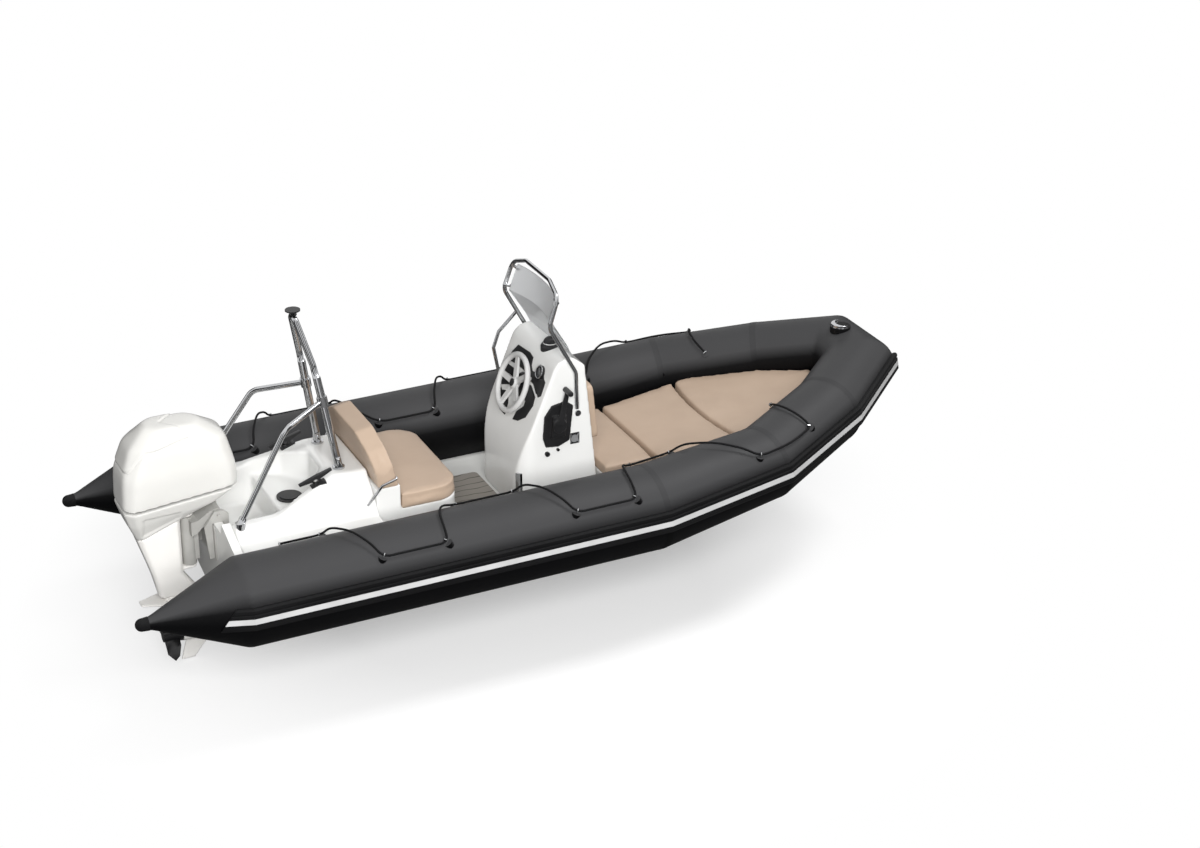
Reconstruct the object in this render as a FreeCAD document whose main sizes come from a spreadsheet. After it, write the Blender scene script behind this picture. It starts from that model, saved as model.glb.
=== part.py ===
import FreeCAD, Part
import math
import os
import re
import Sketcher
from FreeCAD import Matrix, Placement, Rotation, Vector

# Rigid inflatable boat with console, stern bench, ski arch and outboard motor.
# Millimetres.  +X to the bow, +Y to port, +Z up.  The origin is on the centreline,
# on the waterline, where the tubes' aft cones begin.

SIZES = [
    # Inflatable collar: centre points and radii of its chambers
    ("tube_radius", 260, "radius of the side tubes"),
    ("tube_gauge", 807, "centreline of the boat to the centre of a side tube"),
    ("tube_height", 200, "centre of the side tubes above the waterline at the stern"),
    ("shoulder_x", 2525, "first mitre, where the side tube starts to turn in"),
    ("shoulder_rise", 25, "rise of the tube centre at the first mitre"),
    ("quarter_x", 3340, "second mitre"),
    ("quarter_y", 732, "tube centre from the centreline at the second mitre"),
    ("quarter_rise", 111, "rise of the tube centre at the second mitre"),
    ("quarter_radius", 232, "tube radius at the second mitre"),
    ("cheek_x", 3940, "third mitre, the seam of the bow chamber"),
    ("cheek_y", 449, "tube centre from the centreline at the third mitre"),
    ("cheek_rise", 224, "rise of the tube centre at the third mitre"),
    ("cheek_radius", 228, "tube radius at the third mitre"),
    ("nose_x", 4330, "blunt nose, mitre with the cross chamber"),
    ("nose_y", 150, "tube centre from the centreline at the nose"),
    ("nose_rise", 320, "rise of the tube centre at the nose"),
    ("nose_radius", 222, "tube radius at the nose"),
    ("cone_length", 527, "length of the aft cones"),
    ("cone_tip_radius", 36, "radius of a cone at its cap"),
    ("cap_length", 74, "length of a moulded cone cap"),
    ("seat_gap", 0.4, "clearance of a moulding to the tube it is bonded to"),
    # Rub strake and its stripe
    ("strake_angle", 5.3, "strake centre above the widest line of the tube, degrees"),
    ("strake_height", 132, "height of the rubbing strake"),
    ("strake_proud", 15, "strake thickness outside the tube"),
    ("stripe_height", 32, "height of the pale stripe"),
    ("stripe_drop", 9, "stripe centre below the strake centre"),
    ("stripe_depth", 6, "depth of the groove that holds the stripe"),
    ("strake_tail", 95, "how far the strake runs aft onto the cone"),
    # Grab lines
    ("line_radius", 6.5, "radius of the grab line"),
    ("line_lift", 17, "grab line's centre above the tube's skin at its eyes"),
    ("eye_reach", 14, "outer reach of an eye from the line's centre"),
    ("patch_radius", 26, "radius of the patch under an eye"),
    # Hull and deck
    ("transom_x", 60, "aft face of the transom"),
    ("transom_thick", 50, "thickness of the transom"),
    ("transom_top", 355, "top of the transom where the motor hangs"),
    ("keel_depth", 175, "keel below the waterline at the transom"),
    ("chine_y", 600, "chine from the centreline"),
    ("chine_depth", 20, "chine below the waterline"),
    ("hull_side_y", 660, "outer edge of the hull's flange under the tube"),
    ("sole_bottom", 45, "underside of the cockpit sole"),
    ("sole_top", 70, "upper side of the cockpit sole"),
    ("panel_thick", 4, "thickness of the non-skid panels"),
    ("bow_eye_radius", 20, "clear radius of the bow eye"),
    ("bow_eye_bar", 6, "half thickness of the bow eye's ring"),
    ("bow_eye_stand", 40, "centre of the bow eye off the stem"),
    # Stern moulding with the motor well
    ("stern_fore_x", 955, "forward end of the stern moulding"),
    ("stern_deck_z", 365, "stern deck beside the tubes"),
    ("stern_rise_z", 430, "stern deck beside the well at the transom"),
    ("stern_crown_z", 575, "raised part of the stern deck at its forward end"),
    ("crown_y", 265, "half width of the raised part"),
    ("well_half", 320, "half width of the motor well"),
    ("well_fore_x", 720, "forward end of the motor well"),
    ("well_floor_z", 200, "floor of the motor well"),
    ("shelf_aft_x", 432, "aft edge of the shelf in the forward part of the well"),
    ("shelf_z", 380, "shelf in the forward part of the well"),
    ("hatch_radius", 75, "radius of the round hatch on the shelf"),
    ("hatch_x", 545, "centre of the hatch"),
    ("hatch_y", 55, "centre of the hatch to starboard"),
    ("cleat_x", 655, "centre of a stern cleat"),
    ("cleat_y", 275, "stern cleat from the centreline"),
    # Stern bench
    ("shelf_x", 1105, "forward end of the ledge that carries the backrest"),
    ("bench_fore_x", 1480, "forward side of the bench base"),
    ("bench_half", 430, "half width of the bench"),
    ("bench_top", 350, "top of the bench base"),
    ("bench_pad_thick", 95, "thickness of the seat cushion"),
    ("pad_gap", 0.4, "clearance of a cushion to what carries it"),
    ("back_thick", 120, "thickness of the backrest"),
    ("back_bottom", 505, "bottom of the backrest"),
    ("back_height", 290, "height of the backrest"),
    ("back_slope", 0.2, "lean of the backrest, run over rise"),
    # Console
    ("console_half", 315, "half width of the console"),
    ("console_aft_x", 1900, "aft side of the console at its foot"),
    ("console_fore_x", 2430, "forward side of the console at its foot"),
    ("console_corner", 110, "radius of the console's aft corners"),
    ("console_bend", 900, "radius of the sweep from the console's aft side into the dash"),
    ("brow_bend", 110, "radius of the sweep from the dash over the brow"),
    ("dash_foot_x", 1975, "lower edge of the dash"),
    ("dash_foot_z", 600, "height of the dash's lower edge"),
    ("dash_top_x", 2135, "upper edge of the dash"),
    ("dash_top_z", 985, "height of the dash's upper edge"),
    ("brow_x", 2200, "crown of the console behind the windscreen"),
    ("brow_z", 1045, "height of the console's crown"),
    ("console_front_x", 2335, "top of the console's front"),
    ("console_front_z", 985, "height of the console's front"),
    ("wheel_y", 0, "steering wheel from the centreline"),
    ("wheel_radius", 172, "steering wheel, to the middle of its rim"),
    ("rim_radius", 17, "radius of the steering wheel's rim"),
    ("gauge_radius", 42, "radius of the round gauge"),
    ("gauge_y", 178, "gauge to starboard of the centreline"),
    ("gauge_up", 352, "gauge up the slope of the dash"),
    ("compass_y", 78, "compass to starboard of the centreline"),
    ("bow_back_low", 448, "bottom of the bow backrest"),
    ("bow_back_high", 826, "top of the bow backrest"),
    ("bow_back_thick", 62, "thickness of the bow backrest"),
    ("front_slope", 0.104, "lean of the console's front, run over rise"),
    ("glass_thick", 6, "thickness of the windscreen"),
    ("frame_bend", 80, "bending radius of the windscreen frame"),
    ("wheel_up", 202, "wheel centre up the slope of the dash"),
    ("wheel_stand", 58, "wheel centre above the dash"),
    # Steel tubes
    ("rail_radius", 12.5, "radius of the windscreen frame"),
    ("arch_radius", 19, "radius of the arch legs"),
    ("arch_foot_x", 812, "arch foot"),
    ("arch_foot_y", 186, "arch foot from the centreline"),
    ("arch_top_x", 650, "top of the arch"),
    ("arch_top_z", 1480, "top of the arch"),
    ("stay_radius", 17, "radius of the back stays"),
    ("stay_foot_x", 148, "foot of a back stay"),
    ("stay_foot_y", 385, "foot of a back stay from the centreline"),
    ("stay_bend_x", 468, "bend of a back stay"),
    ("stay_bend_y", 298, "bend of a back stay from the centreline"),
    ("stay_bend_z", 935, "height of a back stay's bend"),
    ("collar_height", 410, "collar of a back stay up the arch leg"),
    ("spool_radius", 44, "radius of the tow spool's flange"),
    ("spool_neck", 11, "radius of the tow spool's neck"),
    # Bow
    ("bow_pad_half", 385, "half width of the bow cushions at their aft end"),
    ("bow_pad_thick", 72, "thickness of the bow cushions"),
    ("bow_pad_aft_x", 2435, "aft end of the bow cushions"),
    ("pad_seam_1_x", 2745, "seam between the first and second bow cushion"),
    ("pad_seam_2_x", 3410, "seam between the second and third bow cushion"),
    ("pad_seam", 12, "width of a seam between two cushions"),
    ("bow_pad_z", 316, "top of the bow cushions at their aft end"),
    ("fairlead_x", 4285, "bow fairlead"),
    ("fairlead_radius", 66, "radius of the bow fairlead's pad"),
    # Outboard motor
    ("tilt_x", 95, "tilt axis"),
    ("tilt_z", 400, "tilt axis above the waterline"),
    ("king_x", -62, "steering axis of the motor"),
    ("cowl_half", 178, "half width of the cowl"),
    ("cowl_seam_z", 547, "seam between the cowl and its apron"),
    ("cowl_wall", 7, "thickness of the cowl"),
    ("barrel_low", 62, "bottom of the steering barrel"),
    ("barrel_high", 372, "top of the steering barrel"),
    ("barrel_gap", 0.5, "end play of the motor on its steering barrel"),
    ("pad_plate", 8, "thickness of the pad on the transom"),
    ("plate_z", -150, "anti-ventilation plate"),
    ("shaft_z", -388, "propeller shaft"),
    ("skeg_z", -570, "bottom of the skeg"),
    ("prop_x", -215, "middle of the propeller hub"),
    ("prop_radius", 170, "radius of the propeller"),
    ("hub_radius", 52, "radius of the propeller hub"),
    ("running_gap", 6, "clearance between moving pieces"),
]

doc = FreeCAD.newDocument("RigidInflatable")
sheet = doc.addObject("Spreadsheet::Sheet", "Sizes")
for row, (alias, number, note) in enumerate(SIZES, start=1):
    sheet.set("A%d" % row, alias)
    sheet.set("B%d" % row, str(number))
    sheet.setAlias("B%d" % row, alias)
    sheet.set("C%d" % row, note)
doc.recompute()
ALIASES = {alias for alias, number, note in SIZES}
X_AXIS, Y_AXIS, Z_AXIS = Vector(1, 0, 0), Vector(0, 1, 0), Vector(0, 0, 1)
NODES = {}


def cell(text):
    """An expression with each size's name turned into its cell."""
    return re.sub(r"[a-z_][a-z_0-9]*", lambda word: "Sizes." + word[0] if word[0] in ALIASES else word[0], str(text))


def size(text):
    """The value of a size, or of an expression of sizes."""
    return float(sheet.evalExpression(cell(text)))


def point(x, y, z):
    return Vector(size(x), size(y), size(z))


def keep(name, item):
    """Enter a finished piece under its node's name."""
    item.Label = name
    NODES[name] = item
    return item


def feature(name, shape):
    """A piece whose form is worked out from the sizes in this file."""
    item = doc.addObject("Part::Feature", name)
    item.Shape = shape
    item.Placement = Placement()
    return keep(name, item)


# ---------------------------------------------------------------- sketches and bodies

def new_body(name):
    return doc.addObject("PartDesign::Body", name)


def origin_plane(body, role):
    return [item for item in body.Origin.OriginFeatures if item.Role == role][0]


def outline(body, role, corners, name, offset=None):
    """A closed sketch of straight edges; each corner is a pair of expressions."""
    drawing = body.newObject("Sketcher::SketchObject", name)
    drawing.AttachmentSupport = [(origin_plane(body, role), "")]
    drawing.MapMode = "FlatFace"
    if offset is not None:
        drawing.setExpression("AttachmentOffset.Base.z", cell(offset))
    spots = [Vector(size(u), size(v), 0) for u, v in corners]
    for here, there in zip(spots, spots[1:] + spots[:1]):
        drawing.addGeometry(Part.LineSegment(here, there))
    for edge in range(len(spots)):
        drawing.addConstraint(Sketcher.Constraint("Coincident", edge, 2, (edge + 1) % len(spots), 1))
    for edge, (corner, spot) in enumerate(zip(corners, spots)):
        for kind, text, number in (("DistanceX", corner[0], spot.x), ("DistanceY", corner[1], spot.y)):
            rule = drawing.addConstraint(Sketcher.Constraint(kind, -1, 1, edge, 1, number))
            drawing.setExpression("Constraints[%d]" % rule, cell(text))
    return drawing


def pad(body, drawing, length, name, symmetric=True):
    item = body.newObject("PartDesign::Pad", name)
    item.Profile = drawing
    item.setExpression("Length", cell(length))
    item.SideType = "Symmetric" if symmetric else "One side"
    doc.recompute()
    return item


def pocket(body, drawing, length, name, symmetric=True):
    before = body.Shape.Volume
    item = body.newObject("PartDesign::Pocket", name)
    item.Profile = drawing
    item.setExpression("Length", cell(length))
    item.SideType = "Symmetric" if symmetric else "One side"
    doc.recompute()
    if body.Shape.Volume > before - 1:
        item.Reversed = True
        doc.recompute()
    if body.Shape.Volume > before - 1:
        raise ValueError(name + " cuts nothing")
    return item


def along(edge, axis):
    ends = [vertex.Point for vertex in edge.Vertexes]
    run = ends[-1] - ends[0]
    return len(ends) == 2 and run.Length > 1 and abs(run.normalize().dot(axis)) > 0.9999


def rounded(body, base, radius, test, name):
    """Fillet those edges of the base that pass the test."""
    names = ["Edge%d" % (index + 1) for index, edge in enumerate(base.Shape.Edges) if test(edge)]
    item = body.newObject("PartDesign::Fillet", name)
    item.Base = (base, names)
    item.setExpression("Radius", cell(radius))
    doc.recompute()
    return item


def taken_from(body):
    """The shape of a helper body, which then leaves the document with its steps."""
    shape = body.Shape.copy()
    for step in body.Group[::-1]:
        doc.removeObject(step.Name)
    doc.removeObject(body.Name)
    return shape


# ---------------------------------------------------------------- plain solids

def closed_wire(points):
    return Part.makePolygon(list(points) + [points[0]])


def plate(points, push):
    """A flat outline pushed along a vector."""
    return Part.Face(closed_wire(points)).extrude(push)


def box_between(low, high):
    return Part.makeBox(high.x - low.x, high.y - low.y, high.z - low.z, low)


def one_solid(shape):
    """The single solid that a boolean left."""
    solids = shape.removeSplitter().Solids
    if len(solids) != 1:
        raise ValueError("expected one solid, found %d" % len(solids))
    return solids[0]


def bent_path(points, *radii):
    """Straight runs joined by tangent arcs: one radius for all bends, or one for each."""
    edges = []
    start = points[0]
    if len(radii) == 1:
        radii = radii * (len(points) - 2)
    for before, corner, after, radius in zip(points, points[1:], points[2:], radii):
        inward = (before - corner).normalize()
        outward = (after - corner).normalize()
        half = inward.getAngle(outward) / 2
        reach = radius / math.tan(half)
        first, last = corner + inward * reach, corner + outward * reach
        middle = corner + (inward + outward).normalize() * (radius / math.sin(half) - radius)
        edges.append(Part.LineSegment(start, first).toShape())
        edges.append(Part.Arc(first, middle, last).toShape())
        start = last
    edges.append(Part.LineSegment(start, points[-1]).toShape())
    return Part.Wire(edges)


def bent_tube(points, radius, bend):
    """A round bar or tube along a bent path."""
    path = bent_path(points, bend)
    ring = Part.Wire(Part.makeCircle(radius, points[0], points[1] - points[0]))
    return path.makePipeShell([ring], True, False)


def rod(start, end, radius):
    return Part.makeCylinder(radius, (end - start).Length, start, end - start)


# ---------------------------------------------------------------- inflatable collar

# x, half width, rise, radius of each mitre of one side
TUBE_MITRES = [
    ("0", "tube_gauge", "0", "tube_radius"),
    ("shoulder_x", "tube_gauge", "shoulder_rise", "tube_radius"),
    ("quarter_x", "quarter_y", "quarter_rise", "quarter_radius"),
    ("cheek_x", "cheek_y", "cheek_rise", "cheek_radius"),
    ("nose_x", "nose_y", "nose_rise", "nose_radius"),
]
FAR = 3000.0


def mitre_spots(side, grow=0.0):
    return [(Vector(size(x), side * size(y), size("tube_height") + size(rise)), size(radius) + grow)
            for x, y, rise, radius in TUBE_MITRES]


def taper(start, end):
    """Axis and half angle of the cone that touches a ball at each end."""
    run = end[0] - start[0]
    return run.normalize(), math.asin((start[1] - end[1]) / (end[0] - start[0]).Length)


def mitre_plane(before, here, after):
    """Point and normal of the flat seam between two chambers that share a ball at the mitre."""
    in_axis, in_angle = taper(before, here)
    out_axis, out_angle = taper(here, after)
    normal = in_axis / math.cos(in_angle) + out_axis / math.cos(out_angle)
    shift = here[1] * (math.tan(in_angle) + math.tan(out_angle)) / normal.Length
    normal.normalize()
    return here[0] + normal * shift, normal


def beyond(plane, forward=True):
    """Everything on one side of a plane."""
    spot, normal = plane
    block = Part.makeBox(FAR, FAR, FAR, Vector(-FAR / 2, -FAR / 2, 0))
    block.Placement = Placement(spot, Rotation(Z_AXIS, normal if forward else normal * -1))
    return block


def chamber(start, end, aft_plane, fore_plane):
    """One tapered tube between two flat seams."""
    axis, angle = taper(start, end)
    spare = 1.2 * start[1]
    length = (end[0] - start[0]).Length

    def radius_at(run):
        return (start[1] - run * math.sin(angle)) / math.cos(angle)

    foot = start[0] - axis * spare
    if abs(angle) < 1e-6:
        solid = Part.makeCylinder(start[1], length + 2 * spare, foot, axis)
    else:
        solid = Part.makeCone(radius_at(-spare), radius_at(length + spare), length + 2 * spare, foot, axis)
    return solid.cut([beyond(aft_plane, False), beyond(fore_plane)])


def side_planes(spots):
    """The flat seams of one side, from the cone's joint to the nose."""
    across = (Vector(spots[-1][0].x, -spots[-1][0].y, spots[-1][0].z), spots[-1][1])
    row = [(spots[0][0], taper(spots[0], spots[1])[0])]
    for before, here, after in zip(spots, spots[1:], spots[2:] + [across]):
        row.append(mitre_plane(before, here, after))
    return row


def side_chambers(side, grow=0.0):
    spots = mitre_spots(side, grow)
    planes = side_planes(spots)
    return [chamber(spots[i], spots[i + 1], planes[i], planes[i + 1]) for i in range(len(spots) - 1)]


def aft_cone(side, grow=0.0):
    """The tube's pointed aft end, on the axis of the chamber it closes."""
    spots = mitre_spots(side)
    return Part.makeCone(size("tube_radius") + grow, size("cone_tip_radius") + grow, size("cone_length"),
                         spots[0][0], taper(spots[0], spots[1])[0] * -1)


def nose_chamber(grow=0.0):
    spots = mitre_spots(1, grow)
    ends = [spots[-1], mitre_spots(-1, grow)[-1]]
    spot, normal = side_planes(spots)[-1]
    far_spot = Vector(spot.x, -spot.y, spot.z)
    far_normal = Vector(-normal.x, normal.y, -normal.z)
    return chamber(ends[0], ends[1], (spot, normal), (far_spot, far_normal))


def collar_cutters():
    """The tubes a little enlarged, to trim what is bonded to them."""
    gap = size("seat_gap")
    row = [nose_chamber(gap)]
    for side in (-1, 1):
        row += side_chambers(side, gap) + [aft_cone(side, gap)]
    return row


for side, name in ((-1, "tube_starboard"), (1, "tube_port")):
    chambers = side_chambers(side)
    feature(name, one_solid(aft_cone(side).fuse(chambers[:3])))
feature("tube_bow", one_solid(nose_chamber().fuse([side_chambers(1)[3], side_chambers(-1)[3]])))
CUTTERS = collar_cutters()


def cone_cap(side):
    """Moulded end cap: a slightly tapered collar closed by a round dome."""
    lip = size("cone_tip_radius + 4")
    dome = size("cone_tip_radius + 1")
    spots = mitre_spots(side)
    axis = taper(spots[0], spots[1])[0]
    foot = spots[0][0] - axis * size("cone_length")
    centre = foot - axis * (size("cap_length") - dome)
    return one_solid(Part.makeCone(lip, dome, size("cap_length") - dome, foot, axis * -1).fuse(
        Part.makeSphere(dome, centre, axis * -1, 0, 90, 360)))


feature("cone_caps", Part.makeCompound([cone_cap(-1), cone_cap(1)]))


# ---------------------------------------------------------------- rub strake

def strake_lines(side):
    """For the aft cone and each chamber: foot, run, outward and rising axes, length."""
    lift = math.radians(size("strake_angle"))
    spots = mitre_spots(side)
    flare = size("tube_radius - cone_tip_radius") / size("cone_length")
    lines = []
    for start, end in zip(spots, spots[1:]):
        axis, angle = taper(start, end)
        outward = axis.cross(Z_AXIS).normalize() * -side
        upward = outward.cross(axis) * side
        upward = upward if upward.z > 0 else upward * -1
        normal = outward * math.cos(lift) + upward * math.sin(lift)
        foot = start[0] + axis * (start[1] * math.sin(angle)) + normal * (start[1] * math.cos(angle))
        run = axis * math.cos(angle) - normal * math.sin(angle)
        rise = upward * math.cos(lift) - outward * math.sin(lift)
        lines.append((foot, run, normal * math.cos(angle) + axis * math.sin(angle), rise, (end[0] - start[0]).Length))
        if len(lines) == 1:
            tail = (axis + normal * flare).normalize()
            lines.insert(0, (foot - tail * size("strake_tail"), tail, (normal - axis * flare).normalize(), rise,
                             size("strake_tail")))
    return lines


def strake_piece(side, section):
    """A strip of the given section, (proud, rise) pairs, from the wedge on the aft cone to the nose."""
    lines = strake_lines(side)
    foot, run, out, rise, length = lines[0]
    wedge = (run * 1.0 + rise * -0.75).normalize()
    joint = (lines[0][1] + lines[1][1]).normalize()
    planes = [(foot + rise * (size("strake_height") / 2), wedge), (lines[1][0], joint)] + side_planes(mitre_spots(side))[1:]
    rings = []
    for i, (spot, normal) in enumerate(planes):
        met = []
        for foot, run, out, rise, length in lines[max(i - 1, 0):i + 1]:
            corners = [foot + out * proud + rise * height for proud, height in section]
            met.append([corner + run * ((spot - corner).dot(normal) / run.dot(normal)) for corner in corners])
        rings.append(closed_wire([sum(spots[1:], spots[0]) * (1.0 / len(spots)) for spots in zip(*met)]))
    return Part.makeLoft(rings, True, True)


def strake_sections():
    half = size("strake_height") / 2
    proud = size("strake_proud")
    groove = size("stripe_depth")
    stripe_top = size("stripe_height / 2 - stripe_drop")
    stripe_foot = size("-stripe_height / 2 - stripe_drop")
    band = [(-30, -half), (proud * 0.4, -half), (proud, -half + 12), (proud, stripe_foot),
            (proud - groove, stripe_foot), (proud - groove, stripe_top), (proud, stripe_top),
            (proud, stripe_top + 18), (proud - 5, stripe_top + 24), (proud, stripe_top + 30),
            (proud, half - 12), (proud * 0.4, half), (-30, half)]
    stripe = [(proud - groove, stripe_foot), (proud + 1, stripe_foot), (proud + 1, stripe_top),
              (proud - groove, stripe_top)]
    return band, stripe


band, stripe = strake_sections()
feature("rub_strakes", Part.makeCompound([one_solid(strake_piece(side, band).cut(CUTTERS)) for side in (-1, 1)]))
feature("rub_stripes", Part.makeCompound([one_solid(strake_piece(side, stripe)) for side in (-1, 1)]))


# ---------------------------------------------------------------- grab lines on the tubes

def on_tube(side, x, angle, off):
    """A point off the skin of a side tube, at an angle from its outboard side over the top."""
    spots = mitre_spots(side)
    for start, end in zip(spots, spots[1:]):
        if x <= end[0].x:
            break
    share = (x - start[0].x) / (end[0].x - start[0].x)
    axis, cone = taper(start, end)
    outward = axis.cross(Z_AXIS).normalize()
    outward = outward if outward.y * side > 0 else outward * -1
    upward = outward.cross(axis)
    upward = upward if upward.z > 0 else upward * -1
    turn = math.radians(angle)
    reach = start[1] + (end[1] - start[1]) * share + off
    return start[0] + (end[0] - start[0]) * share + (outward * math.cos(turn) + upward * math.sin(turn)) * reach


def cord(points, radius):
    """A laid rope, with the middle and the run of each bend: straight runs and tangent arcs."""
    edges = []
    bends = [(points[0], (points[1] - points[0]).normalize())]
    start = points[0]
    for before, corner, after in zip(points, points[1:], points[2:]):
        inward = before - corner
        outward = after - corner
        reach = 0.45 * min(inward.Length, outward.Length)
        inward.normalize()
        outward.normalize()
        half_turn = inward.getAngle(outward) / 2
        bend = reach * math.tan(half_turn)
        first, last = corner + inward * reach, corner + outward * reach
        middle = corner + (inward + outward).normalize() * (bend / math.sin(half_turn) - bend)
        edges.append(Part.LineSegment(start, first).toShape())
        edges.append(Part.Arc(first, middle, last).toShape())
        bends.append((middle, (last - first).normalize()))
        start = last
    edges.append(Part.LineSegment(start, points[-1]).toShape())
    bends.append((points[-1], (points[-1] - start).normalize()))
    ring = Part.Wire(Part.makeCircle(radius, points[0], points[1] - points[0]))
    return Part.Solid(Part.Wire(edges).makePipeShell([ring], True, False)), bends


# x along the boat, angle over the tube, extra height above its skin, ring or not
LINE_ROUTE = [
    (300, 135, 0, True), (550, 135, 0, True), (575, 112, 22, False), (650, 84, 34, False), (728, 62, 16, False),
    (775, 44, 0, True), (1165, 44, 0, True), (1172, 66, 4, False), (1190, 90, 6, False), (1250, 114, 4, False),
    (1358, 135, 0, True), (1735, 135, 0, True), (1760, 112, 22, False), (1830, 84, 34, False),
    (1908, 62, 16, False), (1961, 44, 0, True), (2348, 44, 0, True), (2352, 66, 4, False), (2362, 90, 6, False),
    (2400, 114, 4, False), (2475, 135, 0, True), (2800, 135, 0, True), (2850, 112, 20, False),
    (2980, 84, 30, False), (3120, 62, 14, False), (3206, 44, 0, True), (3382, 44, 12, False), (3574, 44, 0, True),
    (3566, 66, 5, False), (3566, 90, 8, False), (3590, 114, 6, False), (3644, 137, 0, True),
]


def line_points(side):
    lift = size("line_lift")
    return [on_tube(side, x, angle, lift + extra) for x, angle, extra, ring in LINE_ROUTE]


def line_ring(skin, here, run):
    """A six-sided steel eye on its round patch; the rope runs through the eye."""
    outward = (here - skin).normalize()
    across = outward.cross(run).normalize()
    hexagons = []
    for reach in (size("eye_reach"), size("line_radius + 1.5")):
        spots = [here + (outward * math.cos(turn) + across * math.sin(turn)) * reach
                 for turn in [math.radians(60 * step) for step in range(6)]]
        hexagons.append(plate([spot - run * 2.5 for spot in spots], run * 5))
    eye = hexagons[0].cut(hexagons[1])
    patch = Part.makeCylinder(size("patch_radius"), 30, skin - outward * 27, outward).cut(CUTTERS)
    patch = max(patch.Solids, key=lambda piece: piece.Volume)
    return eye.cut(patch), patch


eyes, patches, ropes = [], [], []
for side in (-1, 1):
    rope, bends = cord(line_points(side), size("line_radius"))
    ropes.append(rope)
    for (x, angle, extra, ring), (here, run) in zip(LINE_ROUTE, bends):
        if ring:
            eye, patch = line_ring(on_tube(side, x, angle, 0), here, run)
            eyes.append(eye)
            patches.append(patch)
feature("grab_lines", Part.makeCompound(ropes))
feature("line_eyes", Part.makeCompound(eyes))
feature("line_patches", Part.makeCompound(patches))

# ---------------------------------------------------------------- hull and deck

# x, keel z, chine half width, chine z, flange half width, flange z
HULL_SECTIONS = [
    ("transom_x", "-keel_depth", "chine_y", "-chine_depth", "hull_side_y", "sole_bottom"),
    ("1600", "-keel_depth", "chine_y + 5", "-chine_depth", "hull_side_y", "sole_bottom"),
    ("2600", "-keel_depth + 8", "chine_y - 40", "chine_depth", "hull_side_y - 20", "sole_bottom + 20"),
    ("3300", "-keel_depth + 60", "chine_y - 150", "chine_depth + 70", "hull_side_y - 110", "sole_bottom + 90"),
    ("3850", "-keel_depth + 180", "chine_y - 330", "chine_depth + 170", "hull_side_y - 310", "sole_bottom + 190"),
    ("4200", "-keel_depth + 330", "chine_y - 510", "chine_depth + 260", "hull_side_y - 520", "sole_bottom + 262"),
]


def hull_bottom():
    wires = []
    for station in HULL_SECTIONS:
        x, keel, chine_y, chine_z, side_y, side_z = [size(text) for text in station]
        wires.append(closed_wire([Vector(x, 0, keel), Vector(x, chine_y, chine_z), Vector(x, side_y, side_z),
                                  Vector(x, -side_y, side_z), Vector(x, -chine_y, chine_z)]))
    return Part.makeLoft(wires, True, True)


transom = new_body("transom")
pad(transom, outline(transom, "YZ_Plane", [
    ("-hull_side_y + 40", "sole_bottom"), ("hull_side_y - 40", "sole_bottom"),
    ("hull_side_y - 100", "stern_deck_z - 30"), ("hull_side_y - 160", "stern_deck_z - 15"),
    ("well_half - 20", "stern_rise_z - 5"), ("well_half - 50", "transom_top"), ("-well_half + 50", "transom_top"),
    ("-well_half + 20", "stern_rise_z - 5"), ("-hull_side_y + 160", "stern_deck_z - 15"),
    ("-hull_side_y + 100", "stern_deck_z - 30")],
    "transom_outline", "transom_x"), "transom_thick", "transom_board", symmetric=False)
doc.recompute()
feature("hull_bottom", one_solid(hull_bottom().fuse(taken_from(transom)).cut(CUTTERS)))


def trimmed(name, shape):
    """Trim a moulding where the tubes pass, drop the scraps outboard of them, and enter it."""
    pieces = shape.cut(CUTTERS).removeSplitter().Solids
    return feature(name, max(pieces, key=lambda piece: piece.Volume))


# Bow eye: a forged ring on the stem, for the winch strap or painter
stem_spot = Vector(size("3850 + 175"), 0, size("-keel_depth + 180 + 75"))
stem_out = Vector(size("150"), 0, size("-350")).normalize()
ring_spot = stem_spot + stem_out * size("bow_eye_stand")
eye_thick = size("bow_eye_bar * 2")
ring = Part.makeCylinder(size("bow_eye_radius + 2 * bow_eye_bar"), eye_thick, ring_spot - Y_AXIS * (eye_thick / 2), Y_AXIS)
neck = rod(stem_spot - stem_out * 40, ring_spot - stem_out * size("bow_eye_radius + bow_eye_bar"), size("bow_eye_bar + 3"))
bow_eye = ring.fuse(neck).cut([NODES["hull_bottom"].Shape, Part.makeCylinder(
    size("bow_eye_radius"), 60, ring_spot - Y_AXIS * 30, Y_AXIS)])
feature("bow_eye", max(bow_eye.Solids, key=lambda piece: piece.Volume))

# Cockpit sole: from the transom to the bow locker, as wide as the tubes leave room for
sole = box_between(point("transom_x + transom_thick + seat_gap", "-hull_side_y", "sole_bottom + seat_gap"),
                   point("bow_pad_aft_x - 20", "hull_side_y", "sole_top"))
trimmed("cockpit_sole", sole.cut(NODES["hull_bottom"].Shape))

# Non-skid panel in the footwell between bench and console
panel = new_body("nonskid_panel")
panel_slab = pad(panel, outline(panel, "XY_Plane", [
    ("bench_fore_x + 20", "-console_half - 30"), ("console_aft_x - 15", "-console_half - 30"),
    ("console_aft_x - 15", "console_half + 30"), ("bench_fore_x + 20", "console_half + 30")],
    "panel_outline", "sole_top"), "panel_thick", "panel_slab", symmetric=False)
rounded(panel, panel_slab, "30", lambda edge: along(edge, Z_AXIS), "panel_corners")
keep("nonskid_panel", panel)

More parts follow.
